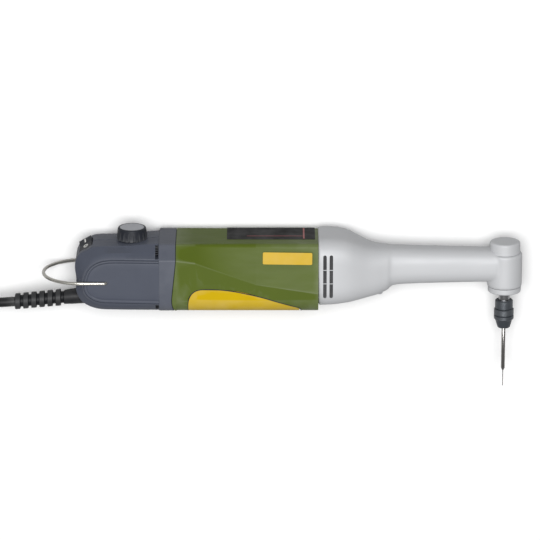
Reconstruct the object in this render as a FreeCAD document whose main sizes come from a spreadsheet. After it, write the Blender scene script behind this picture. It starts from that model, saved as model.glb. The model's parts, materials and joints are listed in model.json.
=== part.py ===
import FreeCAD, Part
import math
import os

import Sketcher
from FreeCAD import Placement, Rotation, Vector

# A hand-held right-angle drill with a mains motor, a planetary reduction, a rigid long neck and a bevel head.
# +X runs forward from the cord to the head, +Y is the side of the speed knob, and +Z is up: the tool lies on
# its flat side. The frame's origin is on that flat side, right under the motor's axis. Sub-parts are drawn
# from the middle of the motor housing, so frame_shift and mid_height move each of them to the frame.

doc = FreeCAD.newDocument("right_angle_drill")
sheet = doc.addObject("Spreadsheet::Sheet", "sizes")
nodes = []


class Size:
    """A number that remembers the spreadsheet expression that it comes from."""

    def __init__(self, number, text):
        self.number = float(number)
        self.text = text

    def combined(self, other, sign, number):
        other_text = other.text if isinstance(other, Size) else "%.6g" % other
        return Size(number, "(%s %s %s)" % (self.text, sign, other_text))

    def __add__(self, other):
        return self.combined(other, "+", self.number + number_of(other))

    def __sub__(self, other):
        return self.combined(other, "-", self.number - number_of(other))

    def __mul__(self, other):
        return self.combined(other, "*", self.number * number_of(other))

    def __truediv__(self, other):
        return self.combined(other, "/", self.number / number_of(other))

    def __neg__(self):
        return Size(-self.number, "(-1 * %s)" % self.text)

    def __radd__(self, other):
        return self + other

    def __rsub__(self, other):
        return (-self) + other


def number_of(size):
    return size.number if isinstance(size, Size) else float(size)


class Sizes:
    """The spreadsheet's cells by their aliases."""

    row = 0

    def add(self, **cells):
        for alias, number in cells.items():
            self.row += 1
            sheet.set("A%d" % self.row, alias)
            sheet.set("B%d" % self.row, str(number))
            sheet.setAlias("B%d" % self.row, alias)
            setattr(self, alias, Size(number, "sizes." + alias))


size = Sizes()

# The casing, in millimetres.
size.add(
    frame_shift=30,
    mid_height=24.5,
    wall=2.5,
    shell_rear=-104,
    collar_rear=-53.5,
    housing_rear=-43,
    housing_front=42.3,
    casing_top=17.8,
    casing_bottom=-23.7,
    casing_side=24.5,
    panel_side=22,
    ridge_half_width=17,
    inlay_depth=1.2,
    deck_slope_top=15.2,
)
# The gear case, its neck and its head.
size.add(
    neck_rear=89.5,
    neck_front=145.5,
    neck_rear_radius=11.2,
    neck_front_radius=9.9,
    head_x=155,
    head_radius=10.5,
    head_top=7.6,
    head_bottom=-13.6,
    head_cap_radius=9.15,
    head_cap_top=14.5,
    lower_cap_radius=10,
    lower_cap_bottom=-17.1,
)
# The motor and its brushes.
size.add(
    motor_radius=15,
    motor_wall=1.4,
    motor_rear=-33,
    motor_front=26,
    plate_thickness=3,
    air_gap=0.5,
    core_radius=10.4,
    shaft_radius=2.5,
    commutator_radius=4.5,
    fan_radius=14.6,
    running_gap=0.05,
)
# The planetary reduction and the bevel pair.
size.add(
    gear_module=0.5,
    sun_teeth=12,
    planet_teeth=18,
    ring_teeth=48,
    planet_count=3,
    gear_rear=56,
    gear_length=8,
    ring_outer_radius=14.3,
    bevel_module=0.6,
    bevel_teeth=16,
    bevel_face=2.2,
)
# The spindle, chuck and drill bit.
size.add(
    spindle_radius=3.4,
    chuck_radius=5.4,
    nut_radius=6,
    nose_radius=4.4,
    bit_shank_radius=1.175,
    bit_tip_radius=0.3,
)
# The controls, the hanging bail and the cord.
size.add(
    knob_x=-69.8,
    knob_radius=9.2,
    knob_bottom=16.4,
    knob_top=23.5,
    flute_count=18,
    rocker_x=-97.4,
    rocker_y=12.3,
    rocker_angle=30,
    bail_pivot_x=-85,
    bail_pivot_y=-4.9,
    bail_half_width=23.35,
    bail_reach=38.5,
    bail_wire_radius=1,
    relief_angle=5.5,
    relief_rear=-141,
    relief_root=-95.5,
    relief_root_radius=5.4,
    relief_end_radius=4.85,
    cord_radius=3,
    coil_x=-236,
    coil_y=-38,
    coil_outer_radius=45.2,
    coil_inner_radius=23,
    coil_height=18.4,
)
doc.recompute()

AXIS_TURNS = {
    "+X": Rotation(),
    "-X": Rotation(Vector(0, 0, 1), 180),
    "+Y": Rotation(Vector(0, 0, 1), 90),
    "-Y": Rotation(Vector(0, 0, 1), -90),
    "+Z": Rotation(Vector(0, 1, 0), -90),
    "-Z": Rotation(Vector(0, 1, 0), 90),
}


def bind(thing, path, amount):
    """Set a property, and bind it to the spreadsheet where the amount comes from there."""
    if "." not in path:
        setattr(thing, path, number_of(amount))
    if isinstance(amount, Size):
        thing.setExpression(path, amount.text)


def place(thing, x=0, y=0, z=0, turn=None):
    """Put a sub-part at a point that is given from the housing's middle, on the motor's axis."""
    x, z = size.frame_shift + x, size.mid_height + z
    thing.Placement = Placement(Vector(number_of(x), number_of(y), number_of(z)), turn or Rotation())
    for letter, amount in (("x", x), ("y", y), ("z", z)):
        if isinstance(amount, Size):
            thing.setExpression("Placement.Base." + letter, amount.text)


def node(thing, label):
    """Register a finished sub-part, whose label is its node's name."""
    thing.Label = label
    nodes.append(thing)
    return thing


# ---------------------------------------------------------------- sketches and PartDesign features


def new_body(label, x=0, y=0, z=0, turn=None):
    body = doc.addObject("PartDesign::Body", label)
    place(body, x, y, z, turn)
    return node(body, label)


def new_sketch(body, name, plane="XY_Plane", offset=0):
    sketch = body.newObject("Sketcher::SketchObject", name)
    origin = [feature for feature in body.Origin.OriginFeatures if feature.Role == plane]
    sketch.AttachmentSupport = (origin[0], "")
    sketch.MapMode = "FlatFace"
    sketch.AttachmentOffset = Placement(Vector(0, 0, number_of(offset)), Rotation())
    if isinstance(offset, Size):
        sketch.setExpression("AttachmentOffset.Base.z", offset.text)
    return sketch


def hold(sketch, kind, geometry, point, amount, axis):
    """Hold one coordinate of a sketch point, on the axis itself where it is nought."""
    if number_of(amount) == 0:
        sketch.addConstraint(Sketcher.Constraint("PointOnObject", geometry, point, axis))
        return
    constraint = Sketcher.Constraint(kind, -1, 1, geometry, point, number_of(amount))
    index = sketch.addConstraint(constraint)
    if isinstance(amount, Size):
        sketch.setExpression("Constraints[%d]" % index, amount.text)


def outline(sketch, corners):
    """Draw a closed outline of straight sides, whose corners are (x, y) or (x, y, rounding radius)."""
    points = [Vector(number_of(c[0]), number_of(c[1]), 0) for c in corners]
    radii = [number_of(c[2]) if len(c) > 2 else 0 for c in corners]
    count = len(corners)
    arrive, leave, arcs = [], [], {}
    for i, corner in enumerate(points):
        back = (points[i - 1] - corner).normalize()
        ahead = (points[(i + 1) % count] - corner).normalize()
        half = back.getAngle(ahead) / 2
        cut = radii[i] / math.tan(half)
        arrive.append(corner + back * cut)
        leave.append(corner + ahead * cut)
        if radii[i]:
            middle = (back + ahead).normalize()
            centre = corner + middle * (radii[i] / math.sin(half))
            arcs[i] = (arrive[i], centre - middle * radii[i], leave[i])
    lines = [
        sketch.addGeometry(Part.LineSegment(leave[i], arrive[(i + 1) % count]), False)
        for i in range(count)
    ]
    for i, corner in enumerate(corners):
        before, after = lines[i - 1], lines[i]
        if i not in arcs:
            sketch.addConstraint(Sketcher.Constraint("Coincident", before, 2, after, 1))
            hold(sketch, "DistanceX", after, 1, corner[0], -2)
            hold(sketch, "DistanceY", after, 1, corner[1], -1)
            continue
        arc = sketch.addGeometry(Part.Arc(*arcs[i]), False)
        first = sketch.getPoint(arc, 1)
        start, end = (1, 2) if first.distanceToPoint(arrive[i]) < 1e-6 else (2, 1)
        sketch.addConstraint(Sketcher.Constraint("Tangent", before, 2, arc, start))
        sketch.addConstraint(Sketcher.Constraint("Tangent", arc, end, after, 1))
        index = sketch.addConstraint(Sketcher.Constraint("Radius", arc, radii[i]))
        if isinstance(corner[2], Size):
            sketch.setExpression("Constraints[%d]" % index, corner[2].text)
        vertex = sketch.addGeometry(Part.Point(points[i]), True)
        sketch.addConstraint(Sketcher.Constraint("PointOnObject", vertex, 1, before))
        sketch.addConstraint(Sketcher.Constraint("PointOnObject", vertex, 1, after))
        hold(sketch, "DistanceX", vertex, 1, corner[0], -2)
        hold(sketch, "DistanceY", vertex, 1, corner[1], -1)


def circle(sketch, x, y, radius):
    centre = Vector(number_of(x), number_of(y), 0)
    ring = sketch.addGeometry(Part.Circle(centre, Vector(0, 0, 1), number_of(radius)), False)
    hold(sketch, "DistanceX", ring, 3, x, -2)
    hold(sketch, "DistanceY", ring, 3, y, -1)
    index = sketch.addConstraint(Sketcher.Constraint("Radius", ring, number_of(radius)))
    if isinstance(radius, Size):
        sketch.setExpression("Constraints[%d]" % index, radius.text)


def pad(body, sketch, length, symmetric=False, flipped=False, kind="Pad"):
    feature = body.newObject("PartDesign::" + kind, sketch.Name + "_" + kind.lower())
    feature.Profile = sketch
    feature.SideType = "Symmetric" if symmetric else "One side"
    feature.Reversed = flipped
    bind(feature, "Length", length)
    sketch.Visibility = False
    body.Tip = feature
    return feature


def pocket(body, sketch, length, symmetric=False, flipped=False):
    return pad(body, sketch, length, symmetric, flipped, "Pocket")


def loft(body, sections, ruled=False):
    feature = body.newObject("PartDesign::AdditiveLoft", body.Name + "_loft")
    feature.Profile = sections[0]
    feature.Sections = sections[1:]
    feature.Ruled = ruled
    body.Tip = feature
    return feature


def turned(label, profile, along="+X", x=0, y=0, z=0):
    """A turned piece: its profile is (distance along the axis, radius) corners, revolved about the axis."""
    body = new_body(label, x, y, z, AXIS_TURNS[along])
    sketch = new_sketch(body, label + "_profile")
    outline(sketch, profile)
    feature = body.newObject("PartDesign::Revolution", label + "_turn")
    feature.Profile = sketch
    feature.ReferenceAxis = (sketch, ["H_Axis"])
    feature.Angle = 360
    body.Tip = feature
    return body


def steps(start, pieces, bore=0):
    """The profile of a stepped shaft: pieces are (radius, length), or (first radius, last radius, length)."""
    corners = [(start, bore)]
    at = start
    for piece in pieces:
        if number_of(corners[-1][1]) != number_of(piece[0]):
            corners.append((at, piece[0]))
        at = at + piece[-1]
        corners.append((at, piece[-2]))
    corners.append((at, bore))
    return corners


# ---------------------------------------------------------------- Part primitives


def block(name, low, extent):
    piece = doc.addObject("Part::Box", name)
    for side, amount in zip(("Length", "Width", "Height"), extent):
        bind(piece, side, amount)
    piece.Placement = Placement(Vector(*[number_of(c) for c in low]), Rotation())
    for letter, amount in zip("xyz", low):
        if isinstance(amount, Size):
            piece.setExpression("Placement.Base." + letter, amount.text)
    return piece


def rod(name, radius, length, base, along="+X", angle=360):
    """A cylinder that starts at its base and runs along a direction."""
    piece = doc.addObject("Part::Cylinder", name)
    bind(piece, "Radius", radius)
    bind(piece, "Height", length)
    piece.Angle = angle
    turn = AXIS_TURNS[along].multiply(Rotation(Vector(0, 1, 0), 90))
    piece.Placement = Placement(Vector(*[number_of(c) for c in base]), turn)
    for letter, amount in zip("xyz", base):
        if isinstance(amount, Size):
            piece.setExpression("Placement.Base." + letter, amount.text)
    return piece


def joined(name, pieces, kind="Part::MultiFuse"):
    result = doc.addObject(kind, name)
    if kind == "Part::Compound":
        result.Links = pieces
    else:
        result.Shapes = pieces
    return result


def cut(name, base, tool):
    result = doc.addObject("Part::Cut", name)
    result.Base = base
    result.Tool = tool
    return result


def lifted(result, label):
    place(result)
    return node(result, label)


def tube_piece(name, outer, inner, length, base, along="+X"):
    wall = rod(name + "_outer", outer, length, base, along)
    return cut(name, wall, rod(name + "_bore", inner, length, base, along))


# ---------------------------------------------------------------- the casing's cross-sections


def casing_section(body, name, x, crease, inset=0):
    """One section of the motor housing: a flat top, sides that slope out to a crease, and a round belly."""
    sketch = new_sketch(body, name, "YZ_Plane", x)
    top, bottom = size.casing_top - inset, size.casing_bottom + inset
    side, ridge = size.casing_side - inset, size.ridge_half_width - inset * 0.8
    outline(
        sketch,
        [
            (bottom, -side, 9),
            (bottom, side, 9),
            (crease, side, 2),
            (top, ridge, 3),
            (top, -ridge, 3),
            (crease, -side, 2),
        ],
    )
    return sketch


# The crease starts high at the rear and falls towards the front.
CREASES = [(size.housing_rear, 9.8), (-31.5, 8.2), (5, -5.2), (size.housing_front, -11)]


def housing_loft(name, inset, overrun=0):
    """The motor housing's closed form, with all its sides moved in by the inset."""
    body = doc.addObject("PartDesign::Body", name)
    first, last = CREASES[0], CREASES[-1]
    stations = [(first[0] - overrun, first[1])] + CREASES[1:-1] + [(last[0] + overrun, last[1])]
    sections = [
        casing_section(body, "%s_section_%d" % (name, number), x, crease, inset)
        for number, (x, crease) in enumerate(stations)
    ]
    loft(body, sections, ruled=True)
    return body


def inlay_prism(name, gap):
    """The grip inlay's side outline, run right through the housing; the gap shrinks it."""
    body = doc.addObject("PartDesign::Body", name)
    sketch = new_sketch(body, name + "_outline")
    outline(
        sketch,
        [
            (-36 + gap, -8.2 - gap, 8),
            (-6, -8.6 - gap, 60),
            (31.5 - gap * 2, -20.4 - gap, 2),
            (32 - gap * 2, -34),
            (-36 + gap, -34),
        ],
    )
    pad(body, sketch, 80, symmetric=True)
    return body


def motor_housing():
    outer = housing_loft("housing_form", 0)
    cavity = housing_loft("housing_cavity", size.wall, 1)
    core = housing_loft("housing_core", size.inlay_depth, 1)
    groove = cut("inlay_groove", inlay_prism("inlay_groove_prism", 0), core)
    shell = cut("housing_shell", outer, cavity)
    grooved = cut("grooved_shell", shell, groove)
    # A flush cover over the brush access, on the flat side that the tool lies on.
    recess = block("cover_recess", (-40, -7.5, -size.casing_side - 1), (22, 10, 2))
    cover = block("brush_cover", (-39.9, -7.4, -size.casing_side), (21.8, 9.8, 1))
    open_shell = cut("open_shell", grooved, recess)
    lifted(joined("motor_housing", [open_shell, cover], "Part::Compound"), "motor_housing")
    inlay_core = housing_loft("inlay_core", size.inlay_depth, 1)
    strip = cut("inlay_strip", inlay_prism("inlay_prism", 0.3), inlay_core)
    inlay = doc.addObject("Part::Common", "grip_inlay")
    inlay.Base = strip
    inlay.Tool = housing_loft("inlay_form", 0)
    lifted(inlay, "grip_inlay")


def labels():
    label = block("rating_label_plate", (-12.6, size.casing_top, -16), (53, 0.25, 23))
    lifted(joined("rating_label", [label], "Part::Compound"), "rating_label")
    lean = Rotation(Vector(0, 0, 1), -0.8) * Rotation(Vector(1, 0, 0), -15)
    body = new_body("badge_plate", 23.8, 9.9, 20.15, lean)
    sketch = new_sketch(body, "badge_outline")
    outline(sketch, [(-14.8, -3.6, 0.8), (14.8, -3.6, 0.8), (14.8, 3.6, 0.8), (-14.8, 3.6, 0.8)])
    pad(body, sketch, 0.8)


# ---------------------------------------------------------------- the rear shell

SHELL_SCREWS = [(-97, -5), (-62, -16.5), (-49, 9.5)]
SCREW_BOSS_RADIUS = 3
SCREW_RADIUS = 1.25


def rear_shell(label, side):
    """Half of the grey rear shell; side is +1 for the upper half as it lies, and -1 for the lower half."""
    body = new_body(label)
    profile = new_sketch(body, label + "_side_view")
    outline(
        profile,
        [
            (size.housing_rear, size.casing_bottom),
            (size.housing_rear, size.casing_top),
            (-60, 16.8, 30),
            (-78, size.deck_slope_top, 30),
            (-92.5, size.deck_slope_top - 0.2, 2),
            (-101.6, 9.9, 2),
            (size.shell_rear, 3.6, 4),
            (size.shell_rear + 0.6, size.casing_bottom, 16),
        ],
    )
    pad(body, profile, size.panel_side * 2, symmetric=True)
    trim = new_sketch(body, label + "_trim", "YZ_Plane", size.shell_rear - 2)
    outline(trim, [(-40, -40), (-40, 40), (40, 40), (40, -40)])
    outline(
        trim,
        [
            (size.casing_bottom, -size.panel_side, 8),
            (size.casing_bottom, size.panel_side, 8),
            (9.4, size.panel_side, 4),
            (20, 13),
            (20, -13),
            (9.4, -size.panel_side, 4),
        ],
    )
    pocket(body, trim, size.collar_rear - size.shell_rear + 20, flipped=True)
    plan = new_sketch(body, label + "_plan_trim", "XZ_Plane")
    outline(plan, [(-130, -60), (-130, 60), (20, 60), (20, -60)])
    plan_side = size.panel_side + 0.5
    rear_corner = 9
    outline(
        plan,
        [
            (size.shell_rear - 0.2, -plan_side, rear_corner),
            (size.shell_rear - 0.2, plan_side, rear_corner),
            (0, plan_side),
            (0, -plan_side),
        ],
    )
    pocket(body, plan, 100, symmetric=True)
    collar = casing_section(body, label + "_collar", size.collar_rear, 9.8)
    pad(body, collar, size.housing_rear - size.collar_rear)
    hollow_shell(body, label)
    for number, (x, y) in enumerate(SHELL_SCREWS):
        boss = new_sketch(body, "%s_boss_%d" % (label, number))
        circle(boss, x, y, SCREW_BOSS_RADIUS)
        pad(body, boss, (size.panel_side - 1) * 2, symmetric=True)
        hole = new_sketch(body, "%s_screw_hole_%d" % (label, number), "XY_Plane", -size.casing_side)
        circle(hole, x, y, SCREW_RADIUS + 0.05)
        pocket(body, hole, size.casing_side + 14, flipped=True)
        counterbore = new_sketch(body, "%s_counterbore_%d" % (label, number), "XY_Plane", -size.casing_side)
        circle(counterbore, x, y, SCREW_RADIUS + 1.35)
        pocket(body, counterbore, 6, flipped=True)
    half = new_sketch(body, label + "_other_half")
    outline(half, [(-120, -40), (-20, -40), (-20, 40), (-120, 40)])
    pocket(body, half, 40, flipped=side < 0)
    return body


def hollow_shell(body, label):
    """The rear shell's cavities, and its holes for the knob, the rocker, the relief and the bail."""
    front, rear = size.housing_rear + 1, size.shell_rear + size.wall + 0.5
    floor, ceiling = size.casing_bottom + size.wall, size.deck_slope_top - size.wall
    main = [(front, floor), (front, 5.5), (rear, 3.6, 1), (rear, floor, 14)]
    deck = [(front, 4), (front, ceiling), (rear + 10.5, ceiling, 1), (rear, 4, 1)]
    for name, half_width, corners in (("main", size.panel_side - size.wall, main), ("deck", 13, deck)):
        cavity = new_sketch(body, "%s_%s_cavity" % (label, name))
        outline(cavity, corners)
        pocket(body, cavity, half_width * 2, symmetric=True)
    knob_seat = new_sketch(body, label + "_knob_seat", "XZ_Plane", -size.knob_bottom + 0.4)
    circle(knob_seat, size.knob_x, 0, size.knob_radius + 0.6)
    pocket(body, knob_seat, 6, flipped=False)
    knob_hole = new_sketch(body, label + "_knob_hole", "XZ_Plane", -8)
    circle(knob_hole, size.knob_x, 0, 3.7)
    pocket(body, knob_hole, 16, flipped=False)
    relief_hole = new_sketch(body, label + "_relief_hole", "YZ_Plane", size.relief_root)
    circle(relief_hole, -19.6, 0, size.relief_root_radius + 0.5)
    pocket(body, relief_hole, 20, flipped=False)
    relief_neck = new_sketch(body, label + "_relief_neck", "YZ_Plane", size.relief_root + 8)
    circle(relief_neck, -19.1, 0, 3.9)
    pocket(body, relief_neck, 20, flipped=False)
    pivot = new_sketch(body, label + "_bail_pivot")
    circle(pivot, size.bail_pivot_x, size.bail_pivot_y, size.bail_wire_radius + size.running_gap)
    pocket(body, pivot, 60, symmetric=True)
    rocker_hole = new_sketch(body, label + "_rocker_hole")
    normal = Vector(-math.sin(math.radians(30)), math.cos(math.radians(30)), 0)
    run = Vector(math.cos(math.radians(30)), math.sin(math.radians(30)), 0)
    middle = Vector(size.rocker_x.number, size.rocker_y.number, 0)
    corners = [
        middle + run * along + normal * out
        for along, out in ((-4.4, -13.4), (4.4, -13.4), (4.4, 8), (-4.4, 8))
    ]
    outline(rocker_hole, [(corner.x, corner.y) for corner in corners])
    pocket(body, rocker_hole, 15.2, symmetric=True)


def shell_screws():
    """Three screws that hold the rear shell's halves together, put in from the lower side."""
    screws = []
    for number, (x, y) in enumerate(SHELL_SCREWS):
        head_base = (x, y, -size.casing_side + 4)
        head = rod("shell_screw_head_%d" % number, SCREW_RADIUS + 1.2, 2, head_base, "+Z")
        shank_base = (x, y, -size.casing_side + 6)
        shank = rod("shell_screw_shank_%d" % number, SCREW_RADIUS, 30, shank_base, "+Z")
        screws.append(joined("shell_screw_%d" % number, [head, shank]))
    lifted(joined("rear_shell_screws", screws, "Part::Compound"), "rear_shell_screws")


# ---------------------------------------------------------------- the gear case and its head


def rounded_section(body, name, x, half_width, top, bottom, radius):
    sketch = new_sketch(body, name, "YZ_Plane", x)
    corners = [(bottom, -half_width), (bottom, half_width), (top, half_width), (top, -half_width)]
    outline(sketch, [(y, z, radius) for y, z in corners])
    return sketch


def gear_case():
    """The cast gear case: a bulge for the gears, a long neck for the shaft and a head for the bevels."""
    body = new_body("gear_case")
    stations = [
        (size.housing_front, 22, 19.8, -21.2, 12),
        (56, 21.4, 19.4, -20.8, 12),
        (61, 20.4, 18.2, -20.4, 12),
        (66, 18.8, 16, -19.6, 12),
        (72, 16.6, 13.4, -18.5, 11.8),
        (78, 14.6, 11.9, -17.2, 11),
        (84, 12.6, 11.5, -15.4, 10.2),
        (size.neck_rear, size.neck_rear_radius, size.neck_rear_radius, -size.neck_rear_radius, 9.6),
        (120, 10.5, 10.5, -10.5, 9),
        (size.neck_front, size.neck_front_radius, size.neck_front_radius, -size.neck_front_radius, 8.5),
    ]
    sections = [
        rounded_section(body, "case_section_%d" % number, *station)
        for number, station in enumerate(stations)
    ]
    loft(body, sections, ruled=True)
    head = new_sketch(body, "head_circle", "XZ_Plane", -size.head_top)
    circle(head, size.head_x, 0, size.head_radius)
    pad(body, head, size.head_top - size.head_bottom)
    bores = [
        ("fan_bore", size.housing_front - 1, 14.5, 17),
        ("gear_bore", 53, 13.5, size.ring_outer_radius + 0.02),
        ("rear_bearing_seat", 66, 8, 9.5),
        ("neck_bore", 73, 64, 6),
        ("front_bearing_seat", 136, 7, 6.5),
        ("pinion_bore", 142, 10, 6.6),
    ]
    for name, start, length, radius in bores:
        sketch = new_sketch(body, name, "YZ_Plane", start)
        circle(sketch, 0, 0, radius)
        pocket(body, sketch, length, flipped=True)
    head_bore = new_sketch(body, "head_bore", "XZ_Plane", -size.head_bottom + 1)
    circle(head_bore, size.head_x, 0, 8.02)
    pocket(body, head_bore, 18.4, flipped=False)
    bearing_bore = new_sketch(body, "upper_bearing_bore", "XZ_Plane", -3)
    circle(bearing_bore, size.head_x, 0, 3.52)
    pocket(body, bearing_bore, 5, flipped=False)
    slots = new_sketch(body, "vent_slots")
    for x in (46.2, 50):
        outline(slots, [(x - 1.05, -14.7, 1), (x + 1.05, -14.7, 1), (x + 1.05, 11.9, 1), (x - 1.05, 11.9, 1)])
    pocket(body, slots, 60, symmetric=True)
    return body


def gear_case_screws():
    """Four screws that hold the gear case to the motor housing, inside the joint's corners."""
    screws = []
    for y in (14.2, -17):
        for z in (-17.4, 17.4):
            name = "case_screw_%d" % len(screws)
            head = rod(name + "_head", 1.6, 1.6, (36, y * 0.82, z * 0.98), "+X")
            shank = rod(name + "_shank", 0.9, 12, (37.6, y * 0.82, z * 0.98), "+X")
            screws.append(joined(name, [head, shank]))
    lifted(joined("gear_case_screws", screws, "Part::Compound"), "gear_case_screws")


def head_caps():
    cap_height = size.head_cap_top - size.head_top
    corners = [(0, 0), (0, size.head_cap_radius), (cap_height, size.head_cap_radius, 1.2), (cap_height, 0)]
    turned("head_cap", corners, "+Y", size.head_x, size.head_top)
    lower_height = size.head_bottom - size.lower_cap_bottom
    edge = (lower_height, size.lower_cap_radius, 1)
    corners = [(0, 3.8), (0, size.lower_cap_radius), edge, (lower_height, 3.8)]
    turned("lower_bearing_cap", corners, "-Y", size.head_x, size.head_bottom)


# ---------------------------------------------------------------- the motor


def bearing(label, bore, outer, width, start, along="+X", x=0):
    """A ball bearing, as its two races and shields in one ring."""
    groove = (outer - bore) * 0.3
    corners = [
        (0, bore),
        (0, bore + groove),
        (width * 0.1, bore + groove + 0.1),
        (width * 0.1, outer - groove),
        (0, outer - groove + 0.1),
        (0, outer),
        (width, outer),
        (width, bore),
    ]
    if along == "+X":
        turned(label, corners, along, start)
    else:
        turned(label, corners, along, x, start)


def motor_frame():
    length = size.motor_front - size.motor_rear
    inside = size.motor_radius - size.motor_wall
    can = tube_piece("can", size.motor_radius, inside, length, (size.motor_rear, 0, 0))
    lifted(joined("motor_can", [can], "Part::Compound"), "motor_can")
    magnets = []
    for number, start_angle in enumerate((25, 205)):
        name = "magnet_%d" % number
        outer = rod(name + "_outer", inside, 36, (-19, 0, 0), "+X", 130)
        inner = rod(name + "_inner", size.core_radius + size.air_gap, 36, (-19, 0, 0), "+X")
        magnet = cut(name, outer, inner)
        magnet.Placement = Placement(Vector(), Rotation(Vector(1, 0, 0), start_angle))
        magnets.append(magnet)
    lifted(joined("motor_magnets", magnets, "Part::Compound"), "motor_magnets")
    for label, start in (
        ("motor_rear_plate", size.motor_rear - size.plate_thickness),
        ("motor_front_plate", size.motor_front),
    ):
        thickness, radius = size.plate_thickness, size.motor_radius
        corners = [(0, 5), (0, radius), (thickness, radius), (thickness, 5)]
        turned(label, corners, "+X", start)
    bearing("motor_rear_bearing", size.shaft_radius, 5, 3, size.motor_rear - size.plate_thickness)
    bearing("motor_front_bearing", size.shaft_radius, 5, 3, size.motor_front)


def armature():
    core = rod("core_form", size.core_radius, 30, (-16, 0, 0))
    slots = []
    for number in range(7):
        slot = block("core_slot_%d" % number, (-17, 6.4, -0.9), (32, 5, 1.8))
        turn = Rotation(Vector(1, 0, 0), number * 360 / 7)
        slot.Placement = Placement(turn.multVec(Vector(-17, 6.4, -0.9)), turn)
        slots.append(slot)
    slotted = cut("slotted_core", core, joined("core_slots", slots))
    bore = rod("core_bore", size.shaft_radius, 40, (-20, 0, 0))
    lifted(cut("armature_core", slotted, bore), "armature_core")
    ends = [
        tube_piece("rear_winding", 9, size.shaft_radius + 1.3, 4.4, (-20.4, 0, 0)),
        tube_piece("front_winding", 9, size.shaft_radius + 1.3, 5, (14, 0, 0)),
    ]
    lifted(joined("armature_windings", ends, "Part::Compound"), "armature_windings")
    turned("commutator", steps(-29, [(size.commutator_radius, 6.5), (5.2, 1.2)], size.shaft_radius))
    journal = size.shaft_radius - size.running_gap
    lengths = [(journal, 9), (size.shaft_radius, 54), (journal, 7), (size.shaft_radius, 22.5), (1.5, 9.5)]
    turned("motor_shaft", steps(-38, lengths))
    fan = [rod("fan_hub", 4, 8, (37, 0, 0)), rod("fan_disc", size.fan_radius, 1.2, (37, 0, 0))]
    for number in range(9):
        blade = block("fan_blade_%d" % number, (0, 0, 0), (6.4, 11, 1))
        turn = Rotation(Vector(1, 0, 0), number * 40)
        blade.Placement = Placement(turn.multVec(Vector(38, 3.4, -0.5)), turn)
        fan.append(blade)
    wheel = cut("fan_wheel", joined("fan_form", fan), rod("fan_bore_cut", size.shaft_radius, 10, (36, 0, 0)))
    lifted(joined("cooling_fan", [wheel], "Part::Compound"), "cooling_fan")


def brushes():
    """Two carbon brushes in their holders, each pressed on the commutator by a spring."""
    carbon, holders, springs = [], [], []
    for number, side in enumerate((1, -1)):
        turn = Rotation(Vector(1, 0, 0), 0 if side > 0 else 180)
        brush = block("brush_%d" % number, (-28, 4.6, -1.5), (4, 6, 3))
        holder_outer = block("holder_outer_%d" % number, (-29, 5.6, -2.5), (6, 7.6, 5))
        holder_bore = block("holder_bore_%d" % number, (-28.02, 5, -1.52), (4.04, 7.4, 3.04))
        holder = cut("holder_%d" % number, holder_outer, holder_bore)
        spring = tube_piece("spring_%d" % number, 1.3, 0.9, 1.75, (-26, 10.62, 0), "+Y")
        for group, piece in ((carbon, brush), (holders, holder), (springs, spring)):
            piece.Placement = Placement(Vector(), turn).multiply(piece.Placement)
            group.append(piece)
    lifted(joined("carbon_brushes", carbon, "Part::Compound"), "carbon_brushes")
    lifted(joined("brush_holders", holders, "Part::Compound"), "brush_holders")
    lifted(joined("brush_springs", springs, "Part::Compound"), "brush_springs")


# ---------------------------------------------------------------- the gears


def tooth_ring(teeth, tip, root, root_share, tip_share, first_angle):
    """The corners of a flat-faced gear outline, as a list of (radius, angle in radians)."""
    pitch = 2 * math.pi / teeth
    corners = []
    for tooth in range(teeth):
        middle = first_angle + tooth * pitch
        for radius, share in ((root, -root_share), (tip, -tip_share), (tip, tip_share), (root, root_share)):
            corners.append((radius, middle + share * pitch / 2))
    return corners


def ring_wire(corners, x, scale=1):
    """A closed wire in a plane square to X; angle 0 points along +Y."""
    points = [Vector(x, r * scale * math.cos(a), r * scale * math.sin(a)) for r, a in corners]
    return Part.makePolygon(points + points[:1])


def shaped(label, shape, x=0, y=0, z=0, turn=None):
    """A sub-part whose shape is made here from the spreadsheet's sizes."""
    feature = doc.addObject("Part::Feature", label)
    feature.Shape = shape
    place(feature, x, y, z, turn)
    return node(feature, label)


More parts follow.
